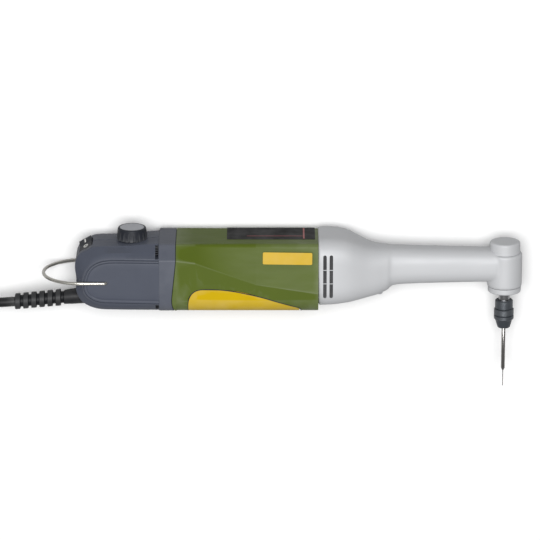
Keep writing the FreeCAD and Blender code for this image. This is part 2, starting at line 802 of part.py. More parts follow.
def spur_gears():
    module = size.gear_module.number
    counts = (size.sun_teeth, size.planet_teeth, size.ring_teeth)
    sun, planet, ring = (int(count.number) for count in counts)
    length, start = size.gear_length.number, size.gear_rear.number
    sun_pitch, planet_pitch, ring_pitch = (module * teeth / 2 for teeth in (sun, planet, ring))
    addendum, dedendum = 0.8 * module, 1.15 * module

    def spur(teeth, pitch_radius, bore, first_angle, height):
        corners = tooth_ring(teeth, pitch_radius + addendum, pitch_radius - dedendum, 0.66, 0.2, first_angle)
        gear = Part.Face(ring_wire(corners, 0)).extrude(Vector(height, 0, 0))
        return gear.cut(Part.makeCylinder(bore, height, Vector(), Vector(1, 0, 0)))

    shaped("sun_pinion", spur(sun, sun_pitch, 1.5, 0, length), start)
    centre_distance = sun_pitch + planet_pitch
    count = int(size.planet_count.number)
    places = [number * 2 * math.pi / count for number in range(count)]
    for number, angle in enumerate(places):
        half_pitch = math.pi / planet
        gear = spur(planet, planet_pitch, 1.55, angle + math.pi + half_pitch, length - 0.8)
        y, z = centre_distance * math.cos(angle), centre_distance * math.sin(angle)
        shaped("planet_gear_%d" % (number + 1), gear, start + 0.4, y, z)
    teeth = tooth_ring(ring, ring_pitch - addendum, ring_pitch + dedendum, 0.66, 0.2, 0)
    inside = Part.Face(ring_wire(teeth, 0)).extrude(Vector(length, 0, 0))
    blank = Part.makeCylinder(size.ring_outer_radius.number, length, Vector(), Vector(1, 0, 0))
    shaped("ring_gear", blank.cut(inside), start)
    pins = []
    for number, a in enumerate(places):
        base = (start + 0.2, centre_distance * math.cos(a), centre_distance * math.sin(a))
        pins.append(rod("planet_pin_%d" % number, 1.5, length + 1.8, base))
    lifted(joined("planet_pins", pins, "Part::Compound"), "planet_pins")
    turned("gearbox_cover", [(0, 3.4), (0, 16.9), (1.8, 16.9), (1.8, 3.4)], "+X", 53.8)


def bevel_gear_shape(bore, hub, first_angle):
    """A bevel gear whose apex is the origin and whose big end is at x = minus its pitch radius."""
    teeth = int(size.bevel_teeth.number)
    pitch_radius = size.bevel_module.number * teeth / 2
    small = 1 - size.bevel_face.number / pitch_radius
    corners = tooth_ring(teeth, pitch_radius + 0.36, pitch_radius - 0.56, 0.62, 0.2, first_angle)
    big_end = ring_wire(corners, -pitch_radius)
    small_end = ring_wire(corners, -pitch_radius * small, small)
    teeth_solid = Part.makeLoft([big_end, small_end], True, True)
    hub_solid = Part.makeCylinder(hub, 3, Vector(-pitch_radius - 3, 0, 0), Vector(1, 0, 0))
    solid = teeth_solid.fuse(hub_solid)
    return solid.cut(Part.makeCylinder(bore, 12, Vector(-pitch_radius - 4, 0, 0), Vector(1, 0, 0)))


def drive_train():
    """The planet carrier, the drive shaft down the neck, and the bevel pair in the head."""
    plate = [(0, 0), (0, 10.6), (2, 10.6), (2, 0)]
    turned("planet_carrier", plate, "+X", size.gear_rear + size.gear_length + 0.4)
    journal = 4 - size.running_gap
    front_journal = 2 - size.running_gap
    profile = steps(66.4, [(journal, 8), (2.6, 62.6), (front_journal, 5.5), (2, 8)])
    turned("drive_shaft", profile)
    bearing("drive_shaft_rear_bearing", 4, 9.48, 5, 67.2)
    bearing("drive_shaft_front_bearing", 2, 6.48, 4, 138)
    bearing("spindle_upper_bearing", 1.5, 3.5, 3, 4.2, "+Y", size.head_x)
    bearing("spindle_lower_bearing", 4, 8, 5, -8.5, "-Y", size.head_x)
    pinion_tooth = -math.pi
    gear_tooth = math.pi / size.bevel_teeth.number
    shaped("bevel_pinion", bevel_gear_shape(2, 3.4, pinion_tooth), size.head_x)
    turn = Rotation(Vector(0, 0, 1), 90)
    shaped("bevel_gear", bevel_gear_shape(2, 3.4, gear_tooth ), size.head_x, turn=turn)


def spindle_and_chuck():
    """The spindle runs down from the head to the chuck; distances are measured down from the head's top."""
    reach = size.head_top
    journal = 4 - size.running_gap
    upper = 1.5 - size.running_gap
    profile = steps(0.4, [(upper, 3.2), (2, 12), (journal, 5.6), (size.spindle_radius, 8.8), (2.6, 3)])
    turned("spindle", profile, "-Y", size.head_x, reach)
    down = [
        (0, 2.6),
        (0, size.chuck_radius - 0.6),
        (0.6, size.chuck_radius),
        (5.2, size.chuck_radius),
        (5.2, size.nose_radius),
        (11, size.nose_radius),
        (11, 2.75),
        (3, 2.75),
        (3, 2.6),
    ]
    turned("chuck_body", down, "-Y", size.head_x, -22.4)
    collet = [(0, 1.2), (0, 2.7), (4, 2.7), (5.4, 2.2), (9.5, 2.2), (9.5, 1.2)]
    turned("collet", collet, "-Y", size.head_x, -29)
    nut = [
        (0, size.nose_radius + size.running_gap),
        (0, size.nut_radius - 0.4),
        (0.4, size.nut_radius),
        (3.6, size.nut_radius),
        (4, size.nut_radius - 0.7),
        (4.4, size.nut_radius),
        (6.2, size.nut_radius),
        (7.3, 5.1),
        (11.6, 3.85),
        (12, 3.5),
        (12, 2.2),
        (11.2, 2.8),
        (7.4, 3.3),
        (6.2, size.nose_radius + size.running_gap),
    ]
    turned("collet_nut", nut, "-Y", size.head_x, -28)
    shank, tip = size.bit_shank_radius, size.bit_tip_radius
    bit = steps(0, [(shank, 34.2), (shank, tip, 1.7), (tip, 9.4), (tip, 0.05, 0.6)])
    turned("drill_bit", bit, "-Y", size.head_x, -32)


# ---------------------------------------------------------------- the controls


def speed_knob():
    height = size.knob_top - size.knob_bottom
    profile = [(0, 3), (0, size.knob_radius), (height, size.knob_radius - 0.7, 0.8), (height, 7.3)]
    profile += [(height - 0.5, 7.3), (height - 0.5, 0), (1.4, 0), (1.4, 3)]
    body = turned("speed_knob", profile, "+Y", size.knob_x, size.knob_bottom)
    flute = new_sketch(body, "knob_flute", "YZ_Plane", 0)
    circle(flute, size.knob_radius + 0.35, 0, 0.85)
    cutter = pocket(body, flute, height * 1.7, flipped=True)
    pattern = body.newObject("PartDesign::PolarPattern", "knob_flutes")
    pattern.Originals = [cutter]
    axis = [feature for feature in body.Origin.OriginFeatures if feature.Role == "X_Axis"]
    pattern.Axis = (axis[0], [""])
    pattern.Angle = 360
    pattern.Occurrences = int(size.flute_count.number)
    pattern.setExpression("Occurrences", size.flute_count.text)
    body.Tip = pattern
    disc = [(0, 0), (0, 7.25), (0.45, 7.25), (0.45, 0)]
    turned("knob_scale_disc", disc, "+Y", size.knob_x, size.knob_top - 0.5)
    turned("potentiometer_shaft", [(0, 0), (0, 3), (7.4, 3), (7.4, 0)], "+Y", size.knob_x, 10.4)


def switch():
    """A rocker that tilts across the tool, in a snap-in switch body under the sloping corner."""
    turn = Rotation(Vector(0, 0, 1), size.rocker_angle.number)
    rocker = new_body("switch_rocker", size.rocker_x, size.rocker_y, 0, turn)
    section = new_sketch(rocker, "rocker_section", "YZ_Plane", -4)
    outline(section, [(-3, -6.6), (2.4, -6.6, 0.4), (0.7, 0, 6), (0.2, 6.6, 0.4), (-3, 6.6)])
    pad(rocker, section, 8)
    pivot = new_sketch(rocker, "rocker_pivot", "YZ_Plane", -4.3)
    circle(pivot, -2, 0, 0.8)
    pad(rocker, pivot, 8.6)
    case = new_body("switch_body", size.rocker_x, size.rocker_y, 0, turn)
    walls = new_sketch(case, "switch_body_section", "YZ_Plane", -4)
    outline(walls, [(-13, -6.5, 0.5), (-13, 6.5, 0.5), (-5.4, 6.5), (-5.4, -6.5)])
    pad(case, walls, 8)


def electronics():
    """The speed control's board, with its capacitor and power switch, and the potentiometer on it."""
    plate = block("board_form", (-86, 2.2, -12), (30, 1.6, 24))
    board = cut("board_plate", plate, rod("board_hole", 2, 4, (-60, 1, 9), "+Y"))
    capacitor = rod("capacitor", 4.5, 14, (-80, -2.3, -3))
    triac = block("power_triac", (-60.5, -8.4, 4), (4.4, 10.6, 6))
    lifted(joined("circuit_board", [board, capacitor, triac], "Part::Compound"), "circuit_board")
    corners = [(0, 3.05), (0, 8), (5.2, 8), (5.2, 4.6), (8, 4.6), (8, 3.05)]
    turned("potentiometer", corners, "+Y", size.knob_x, 3.8)


# ---------------------------------------------------------------- the bail, the relief and the cord


def bail():
    """A wire loop that swings about its two bent-in ends, for hanging the tool up."""
    body = new_body("bail")
    half, reach, bend = size.bail_half_width, size.bail_reach, 1.3
    straight = reach - half
    path = new_sketch(body, "bail_path", "XZ_Plane", -size.bail_pivot_y)
    x, w, far = size.bail_pivot_x.number, half.number, size.bail_pivot_x.number - straight.number
    corner = bend * (1 - math.sqrt(0.5))
    pieces = [
        Part.LineSegment(Vector(x, -w + 3.6, 0), Vector(x, -w + bend, 0)),
        Part.Arc(Vector(x, -w + bend, 0), Vector(x - corner, -w + corner, 0), Vector(x - bend, -w, 0)),
        Part.LineSegment(Vector(x - bend, -w, 0), Vector(far, -w, 0)),
        Part.Arc(Vector(far, -w, 0), Vector(far - w, 0, 0), Vector(far, w, 0)),
        Part.LineSegment(Vector(far, w, 0), Vector(x - bend, w, 0)),
        Part.Arc(Vector(x - bend, w, 0), Vector(x - corner, w - corner, 0), Vector(x, w - bend, 0)),
        Part.LineSegment(Vector(x, w - bend, 0), Vector(x, w - 3.6, 0)),
    ]
    path.addGeometry(pieces, False)
    start = new_sketch(body, "bail_wire", "XY_Plane", -half + 3.6)
    circle(start, size.bail_pivot_x, size.bail_pivot_y, size.bail_wire_radius)
    wire = body.newObject("PartDesign::AdditivePipe", "bail_sweep")
    wire.Profile = start
    wire.Spine = (path, [])
    wire.Transition = "Transformed"
    body.Tip = wire


def relief_point(x):
    """The relief's axis falls towards its end, and passes the shell's wall at the cord entry."""
    return -19.7 + (x + 99) * math.tan(math.radians(size.relief_angle.number))


def strain_relief():
    """The cord's rubber strain relief: a plain root, then flexing notches cut from above and below."""
    turn = Rotation(Vector(0, 0, 1), 180 + size.relief_angle.number)
    root_x = size.relief_root.number
    length = (root_x - size.relief_rear.number) / math.cos(math.radians(size.relief_angle.number))
    root, end = size.relief_root_radius, size.relief_end_radius
    profile = [(-8, 3.1), (-8, 3.5), (0, 3.5), (0, root, 0.6), (length, end, 0.8), (length, 3.1)]
    relief = turned("relief_form", profile, "+X", root_x, relief_point(root_x))
    relief.Placement.Rotation = turn
    nodes.remove(relief)
    cutters = []
    for number in range(6):
        x = length - 2.6 - number * 4.9
        for side in (1, -1):
            cutter = block("notch_%d_%d" % (number, side), (0, 0, 0), (1.9, 4, 12))
            local = Vector(x - 1.9, 3.3 if side > 0 else -7.3, -6)
            cutter.Placement = relief.Placement.multiply(Placement(local, Rotation()))
            cutters.append(cutter)
    notched = cut("strain_relief", relief, joined("relief_notches", cutters))
    node(notched, "strain_relief")


def cord_clamp():
    """A bar that holds the cord inside the shell, with its two screws."""
    bar = block("clamp_bar", (-86.5, -16.8, -9), (6, 4, 18))
    screws = [rod("clamp_screw_%d" % n, 1.4, 5, (-83.5, -17.4, z), "+Y") for n, z in enumerate((-6.5, 6.5))]
    lifted(joined("cord_clamp", [joined("clamp_form", [bar] + screws)], "Part::Compound"), "cord_clamp")


def route_wire(points):
    """Straight runs joined by tangent arcs, each as large as its two runs allow; it returns the radii too."""
    points = [Vector(*point) for point in points]
    edges, radii = [], []
    at = points[0]
    for before, corner, after in zip(points, points[1:], points[2:]):
        back, ahead = before - corner, after - corner
        shorter = min(back.Length, ahead.Length)
        turn = math.pi - back.getAngle(ahead)
        cut_length = 0.45 * shorter
        radius = cut_length / math.tan(turn / 2)
        back.normalize()
        ahead.normalize()
        first, last = corner + back * cut_length, corner + ahead * cut_length
        middle = (back + ahead).normalize()
        centre = corner + middle * (radius / math.cos(turn / 2))
        edges.append(Part.LineSegment(at, first).toShape())
        edges.append(Part.Arc(first, centre - middle * radius, last).toShape())
        radii.append(round(radius, 1))
        at = last
    edges.append(Part.LineSegment(at, points[-1]).toShape())
    return Part.Wire(edges), radii


def cord_tube(label, points):
    wire, radii = route_wire(points)
    start = wire.Edges[0]
    heading = start.tangentAt(start.FirstParameter)
    section = Part.Wire(Part.makeCircle(size.cord_radius.number, Vector(*points[0]), heading))
    tube = wire.makePipeShell([section], True, False)
    expected = math.pi * size.cord_radius.number**2 * wire.Length
    print(label, "length", round(wire.Length, 1), "radii", radii)
    print("volume ratio", round(tube.Volume / expected, 4))
    feature = doc.addObject("Part::Feature", label)
    feature.Shape = tube
    node(feature, label)


# The cord's free stretches in the frame, from the strain relief to the coil and from the coil to the plug.
EXIT_Y = relief_point(size.relief_rear.number)
LEAD_ROUTE = [
    (-111, EXIT_Y, 24.5),
    (-127, -25.5, 23.9),
    (-145, -25.2, 14.5),
    (-163, -19, 4.5),
    (-180, -6.5, 3.1),
    (-199, 1.5, 3.1),
]
PLUG_Z = 25.4
TAIL_ROUTE = [(-179.6, -48, 15.5), (-179.4, -38, 18.6), (-179.5, -27, 24), (-179.5, -17, PLUG_Z)]


def cord():
    cord_tube("cord_tube", LEAD_ROUTE)
    cord_tube("cord_tail", TAIL_ROUTE)
    outer, inner = size.coil_outer_radius, size.coil_inner_radius
    corners = [(0, inner, 4), (0, outer, 4), (size.coil_height, outer, 4), (size.coil_height, inner, 4)]
    turned("cord_coil", corners, "+Z", size.coil_x, size.coil_y, -size.mid_height)


def plug():
    """A flat two-pin plug that lies on the coil."""
    body = new_body("plug_body", -209.5, -17, PLUG_Z - size.mid_height.number)
    top_view = new_sketch(body, "plug_outline")
    right = [(4, 0, 1), (7, 8, 6), (16, 12, 8), (17.6, 33, 2)]
    left = [(-x, y, radius) for x, y, radius in reversed(right)]
    outline(top_view, right + left)
    pad(body, top_view, 13.7, symmetric=True)
    pins = []
    for number, x in enumerate((-218.9, -200.1)):
        pins.append(rod("plug_pin_%d" % number, 2, 19, (x, 16, PLUG_Z - size.mid_height.number), "+Y"))
    lifted(joined("plug_pins", pins, "Part::Compound"), "plug_pins")


# ---------------------------------------------------------------- the whole tool

motor_housing()
labels()
rear_shell("rear_shell_left", 1)
rear_shell("rear_shell_right", -1)
shell_screws()
gear_case()
gear_case_screws()
head_caps()
motor_frame()
armature()
brushes()
spur_gears()
drive_train()
spindle_and_chuck()
speed_knob()
switch()
electronics()
bail()
strain_relief()
cord_clamp()
cord()
plug()
doc.recompute()

faults = [thing.Name for thing in doc.Objects if "Invalid" in thing.State or "Error" in thing.State]
for part in nodes:
    if part.Shape.isNull() or not part.Shape.isValid() or not part.Shape.Solids:
        faults.append(part.Label)
if faults:
    raise SystemExit("failed: " + ", ".join(faults))

os.makedirs("parts", exist_ok=True)
for part in nodes:
    part.Shape.exportStep("parts/%s.step" % part.Label)
print(len(nodes), "nodes written")
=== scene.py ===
# %% [markdown]
# # A long-neck right-angle drill, dressed in Blender
# The CAD model is loaded as a fixed frame. It holds every part at its real
# size, in metres, so a new piece goes where the frame says. This notebook
# gives each part its finish, and remodels those whose real surface is softer
# or finer than the CAD solid.

# %% Load the frame
import json
import math

import bmesh
import bpy
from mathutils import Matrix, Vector


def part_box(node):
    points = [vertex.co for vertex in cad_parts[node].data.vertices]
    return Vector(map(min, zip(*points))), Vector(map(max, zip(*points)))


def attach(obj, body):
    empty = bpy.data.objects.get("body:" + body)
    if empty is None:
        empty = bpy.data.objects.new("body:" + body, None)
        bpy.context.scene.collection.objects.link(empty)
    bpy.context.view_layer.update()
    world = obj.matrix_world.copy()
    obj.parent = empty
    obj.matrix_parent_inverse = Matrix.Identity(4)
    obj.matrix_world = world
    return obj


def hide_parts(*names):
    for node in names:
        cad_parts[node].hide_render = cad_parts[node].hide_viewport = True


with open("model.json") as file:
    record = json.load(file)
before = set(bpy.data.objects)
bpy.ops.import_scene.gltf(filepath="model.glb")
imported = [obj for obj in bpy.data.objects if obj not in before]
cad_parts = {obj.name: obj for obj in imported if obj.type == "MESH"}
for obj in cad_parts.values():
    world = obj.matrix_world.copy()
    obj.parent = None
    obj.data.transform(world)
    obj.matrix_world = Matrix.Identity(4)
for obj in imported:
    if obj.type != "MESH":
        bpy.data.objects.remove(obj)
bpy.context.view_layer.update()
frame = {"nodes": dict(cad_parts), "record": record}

MM = 0.001


# %% [markdown]
# ## The camera
# The drill lies on its flat side, and is seen from almost straight above
# through a long lens. A far camera with a long focal length keeps the sides
# parallel, as a catalogue picture does. The focal length follows from the
# distance and from the width that has to fit in the frame.

# %% Camera
CAMERA_DISTANCE = 2.5
FRAME_WIDTH = 0.3262
SENSOR_WIDTH = 36.0
CAMERA_TILT = math.radians(18)
AIM = Vector((43.3, -3.8, 24.5)) * MM


def in_scene(name, data):
    """A new object for this data, linked into the scene."""
    made = bpy.data.objects.new(name, data)
    bpy.context.collection.objects.link(made)
    return made


camera_data = bpy.data.cameras.new("studio_camera")
camera_data.sensor_width = SENSOR_WIDTH
camera_data.lens = SENSOR_WIDTH * CAMERA_DISTANCE / FRAME_WIDTH
camera = in_scene("studio_camera", camera_data)
towards_camera = Vector((0, math.sin(CAMERA_TILT), math.cos(CAMERA_TILT)))
camera.location = AIM + towards_camera * CAMERA_DISTANCE
camera.rotation_euler = (-CAMERA_TILT, 0, 0)
bpy.context.scene.camera = camera
print("lens in mm:", round(camera_data.lens, 1))


# %% [markdown]
# ## The mains lead
# A mains lead is one round sheath, stiff enough to keep wide bends. Its path
# is a NURBS curve: a few control points pull a smooth line along, and a round
# bevel gives the thickness. The spare length is wound into a flat coil of
# three layers, in, out and in again, and the plug lies on top of it. The
# turns are worked out by a loop, one control point every 20 degrees.

# %% Lead, coil and tail
CORD_DIAMETER = 6 * MM
LEAD = [(-111, -23.74, 24.5), (-127, -25.5, 23.9), (-145, -25.2, 14.5),
        (-163, -19, 4.5), (-180, -6.5, 3.1), (-199, 3.0, 3.1)]
TAIL = [(-179.4, -38, 18.6), (-179.5, -27, 24), (-179.5, -17, 25.4)]
COIL_CENTRE = (-206, -38)
COIL_OUTER, COIL_INNER = 42.3, 26.4
LAYER_HEIGHTS = (3.1, 9.2, 15.3)
COIL_START, COIL_STEP = 100, 20
LAYER_SWEEP = 920
CLIMB = 60


def coil_points():
    """The coil's control points, in millimetres, from the outside of the lowest layer."""
    points = []
    layers = len(LAYER_HEIGHTS)
    for step in range(int(layers * LAYER_SWEEP / COIL_STEP)):
        swept = step * COIL_STEP
        layer = min(int(swept // LAYER_SWEEP), layers - 1)
        share = swept / LAYER_SWEEP - layer
        inward = share if layer != 1 else 1 - share
        radius = COIL_OUTER + (COIL_INNER - COIL_OUTER) * inward
        height = LAYER_HEIGHTS[layer]
        since = swept - layer * LAYER_SWEEP
        if layer and since < CLIMB:
            below = LAYER_HEIGHTS[layer - 1]
            height = below + (height - below) * since / CLIMB
        angle = math.radians(COIL_START + swept)
        points.append((COIL_CENTRE[0] + radius * math.cos(angle),
                       COIL_CENTRE[1] + radius * math.sin(angle), height))
    return points


def round_curve(name, points, diameter):
    """A smooth round bar or lead along control points given in millimetres.

    The bevel is one metre deep, and each point's radius scales it to the real one.
    """
    data = bpy.data.curves.new(name, "CURVE")
    data.dimensions = "3D"
    data.bevel_depth = 1.0
    data.bevel_resolution = 4
    data.resolution_u = 6
    data.use_fill_caps = True
    spline = data.splines.new("NURBS")
    spline.points.add(len(points) - 1)
    for place, point in zip(spline.points, points):
        place.co = (*(value * MM for value in point), 1)
        place.radius = diameter / 2
    spline.order_u = 3
    spline.use_endpoint_u = True
    return in_scene(name, data)


def baked(holder):
    """The plain mesh that an object's modifiers or its curve give; the object is removed."""
    bpy.context.view_layer.update()
    plain = bpy.data.meshes.new_from_object(
        holder.evaluated_get(bpy.context.evaluated_depsgraph_get()))
    bpy.data.objects.remove(holder)
    return plain


mains_lead = round_curve("mains_lead", LEAD + coil_points() + TAIL, CORD_DIAMETER)
centreline = mains_lead.copy()
centreline.data = mains_lead.data.copy()
centreline.data.bevel_depth = 0
bpy.context.collection.objects.link(centreline)
line = baked(centreline)
bpy.data.meshes.remove(line)
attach(mains_lead, "root")
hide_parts("cord_tube", "cord_coil", "cord_tail")


print("lead leaves the drill at", [round(value * MM, 4) for value in LEAD[0]])


# %% [markdown]
# ## Floor and lights
# A pale floor and large soft lamps copy a catalogue studio. The key lamp hangs
# near the camera, so that faces turned to the camera are brightest and those
# turned away are darker. A weak lamp on the left lifts the switch end. The
# floor is painted later: white where the camera sees it, and a middling grey
# for the light that bounces off it, which keeps the drill's sides from washing
# out. A real floor can't do that; it is a choice about this picture only.

# %% Floor, lamps and world
def area_lamp(name, place, size, power):
    lamp_data = bpy.data.lights.new(name, "AREA")
    lamp_data.shape = "DISK"
    lamp_data.size = size
    lamp_data.energy = power
    lamp = in_scene(name, lamp_data)
    lamp.location = place
    lamp.rotation_euler = (AIM - Vector(place)).to_track_quat("-Z", "Y").to_euler()
    return lamp


FLOOR_REACH = 4
SKY_STRENGTH = 0.22
floor_mesh = bpy.data.meshes.new("studio_floor")
floor_mesh.from_pydata([(-FLOOR_REACH, -FLOOR_REACH, 0), (FLOOR_REACH, -FLOOR_REACH, 0),
                        (FLOOR_REACH, FLOOR_REACH, 0), (-FLOOR_REACH, FLOOR_REACH, 0)],
                       [], [(0, 1, 2, 3)])
floor = in_scene("studio_floor", floor_mesh)

area_lamp("key_lamp", place=(0.05, 0.5, 2.2), size=1.4, power=52)
area_lamp("left_lamp", place=(-1.2, 0.3, 1.6), size=0.7, power=4)
world = bpy.data.worlds.new("studio_world")
world.use_nodes = True
world.node_tree.nodes["Background"].inputs["Color"].default_value = (1, 1, 1, 1)
world.node_tree.nodes["Background"].inputs["Strength"].default_value = SKY_STRENGTH
bpy.context.scene.world = world
bpy.context.scene.view_settings.view_transform = "Standard"


# %% [markdown]
# ## Effects that several finishes share
# Moulded, cast and ground surfaces all differ a little from place to place.
# Four shader node groups make those differences: a fine grain, the pale wear
# on corners, the faint cloudiness of a used surface, and the turning lines of
# a lathe. Each gives only masks and heights, so each material still decides
# what colour and gloss they become.

# %% Tools for node trees
def feed(tree, made, values):
    """Link each input whose value is a socket, and set each one whose value is plain."""
    for key, value in values.items():
        if isinstance(value, bpy.types.NodeSocket):
            tree.links.new(value, made.inputs[key])
        else:
            made.inputs[key].default_value = value
    return made


def add_node(tree, kind, inputs=None, **settings):
    """A new node with its settings, and its inputs linked or set."""
    made = tree.nodes.new(kind)
    for key, value in settings.items():
        setattr(made, key, value)
    return feed(tree, made, inputs or {})


def new_group(name, inputs, outputs):
    """An empty shader group with named sockets, and its two end nodes."""
    group = bpy.data.node_groups.new(name, "ShaderNodeTree")
    for socket, kind, value in inputs:
        made = group.interface.new_socket(socket, in_out="INPUT", socket_type=kind)
        if value is not None:
            made.default_value = value
    for socket, kind in outputs:
        group.interface.new_socket(socket, in_out="OUTPUT", socket_type=kind)
    return group, group.nodes.new("NodeGroupInput"), group.nodes.new("NodeGroupOutput")


FLOAT, VECTOR = "NodeSocketFloat", "NodeSocketVector"


def math_node(tree, operation, first, second=None, third=None, clamp=False):
    """The result socket of one sum on two or three values."""
    values = {0: first}
    if second is not None:
        values[1] = second
    if third is not None:
        values[2] = third
    return add_node(tree, "ShaderNodeMath", values, operation=operation,
                    use_clamp=clamp).outputs[0]


print("tools ready:", feed.__name__, add_node.__name__, new_group.__name__, math_node.__name__)


# %% Grain of a moulded or blasted surface
grain_group, given, result = new_group(
    "Moulded Grain", [("Vector", VECTOR, None), ("Scale", FLOAT, 900.0)],
    [("Height", FLOAT), ("Speckle", FLOAT)])
fine = add_node(grain_group, "ShaderNodeTexNoise",
                {"Vector": given.outputs["Vector"], "Scale": given.outputs["Scale"],
                 "Detail": 3.0, "Roughness": 0.6})
pits = add_node(grain_group, "ShaderNodeTexVoronoi",
                {"Vector": given.outputs["Vector"], "Scale": given.outputs["Scale"]},
                feature="SMOOTH_F1")
PIT_SHARE = 0.6
height = math_node(grain_group, "MULTIPLY_ADD", pits.outputs["Distance"], PIT_SHARE,
                   fine.outputs[0])
grain_group.links.new(height, result.inputs["Height"])
grain_group.links.new(fine.outputs[0], result.inputs["Speckle"])
print("made", grain_group.name)


# %% Wear on corners
WEAR_STEEPNESS = 12.0
wear_group, given, result = new_group(
    "Corner Wear",
    [("Vector", VECTOR, None), ("Start", FLOAT, 0.52), ("Patchiness", FLOAT, 140.0)],
    [("Mask", FLOAT)])
corner = add_node(wear_group, "ShaderNodeNewGeometry").outputs["Pointiness"]
patch = add_node(wear_group, "ShaderNodeTexNoise",
                 {"Vector": given.outputs["Vector"], "Scale": given.outputs["Patchiness"],
                  "Detail": 4.0}).outputs[0]
above = math_node(wear_group, "SUBTRACT", corner, given.outputs["Start"])
steep = math_node(wear_group, "MULTIPLY", above, WEAR_STEEPNESS, clamp=True)
mask = math_node(wear_group, "MULTIPLY", steep, patch, clamp=True)
wear_group.links.new(mask, result.inputs["Mask"])
print("made", wear_group.name)


# %% Cloudiness of a handled surface
cloud_group, given, result = new_group(
    "Handled Clouds", [("Vector", VECTOR, None), ("Scale", FLOAT, 45.0)],
    [("Mask", FLOAT), ("Smear", FLOAT)])
broad = add_node(cloud_group, "ShaderNodeTexNoise",
                 {"Vector": given.outputs["Vector"], "Scale": given.outputs["Scale"],
                  "Detail": 5.0, "Roughness": 0.55, "Distortion": 0.4})
stretch = add_node(cloud_group, "ShaderNodeMapping",
                   {"Vector": given.outputs["Vector"], "Scale": (0.25, 1.6, 1.6)})
smear = add_node(cloud_group, "ShaderNodeTexNoise",
                 {"Vector": stretch.outputs[0], "Scale": 220.0, "Detail": 4.0})
cloud_group.links.new(broad.outputs[0], result.inputs["Mask"])
cloud_group.links.new(smear.outputs[0], result.inputs["Smear"])
print("made", cloud_group.name)


# %% Lines left by turning, grinding or stacking
line_group, given, result = new_group(
    "Tool Lines", [("Vector", VECTOR, None), ("Spacing", FLOAT, 900.0), ("Waver", FLOAT, 0.6)],
    [("Height", FLOAT), ("Shade", FLOAT)])
bands = add_node(line_group, "ShaderNodeTexWave",
                 {"Vector": given.outputs["Vector"], "Scale": given.outputs["Spacing"],
                  "Distortion": given.outputs["Waver"], "Detail": 3.0, "Detail Scale": 2.0},
                 wave_type="BANDS", bands_direction="X")
drift = add_node(line_group, "ShaderNodeTexNoise",
                 {"Vector": given.outputs["Vector"], "Scale": 160.0, "Detail": 2.0})
shade = math_node(line_group, "MULTIPLY_ADD", bands.outputs["Fac"], 0.5,
                  math_node(line_group, "MULTIPLY", drift.outputs[0], 0.5))
line_group.links.new(bands.outputs["Fac"], result.inputs["Height"])
line_group.links.new(shade, result.inputs["Shade"])
print("made", line_group.name)


# %% [markdown]
# ## Finishes
# Every finish is a Principled shader fed by those groups. A table holds what
# differs: the colour, how rough and how metallic it is, the size and depth of
# its grain, how much paler its corners are, and which way its tool lines run.
# A loop makes the materials, which keeps so many finishes easy to compare.

# %% How a finish is made
STUDIO_LIGHT = 1.3


def colour(red, green, blue):
    """A colour as it looks on a screen, turned into paint that looks so in this bright studio."""
    return tuple(value ** 2.2 / STUDIO_LIGHT for value in (red, green, blue)) + (1.0,)


def mix_colour(tree, share, first, second):
    """The first colour, turning into the second as the share rises."""
    return add_node(tree, "ShaderNodeMix", {0: share, 6: first, 7: second},
                    data_type="RGBA").outputs[2]


def place_group(tree, group, values):
    """One of the shared groups, placed in a material with that material's own values."""
    made = tree.nodes.new("ShaderNodeGroup")
    made.node_tree = group
    return feed(tree, made, values)


PALER_BY = 0.35
SMEAR_GLOSS = 0.14
WORN_GLOSS = -0.12
COAT_ROUGHNESS = 0.12
BUMP_HEIGHT = 0.1 * MM
LINES_ALONG = {"x": (0, 0, 0), "y": (0, 0, math.radians(-90)), "z": (0, math.radians(90), 0)}


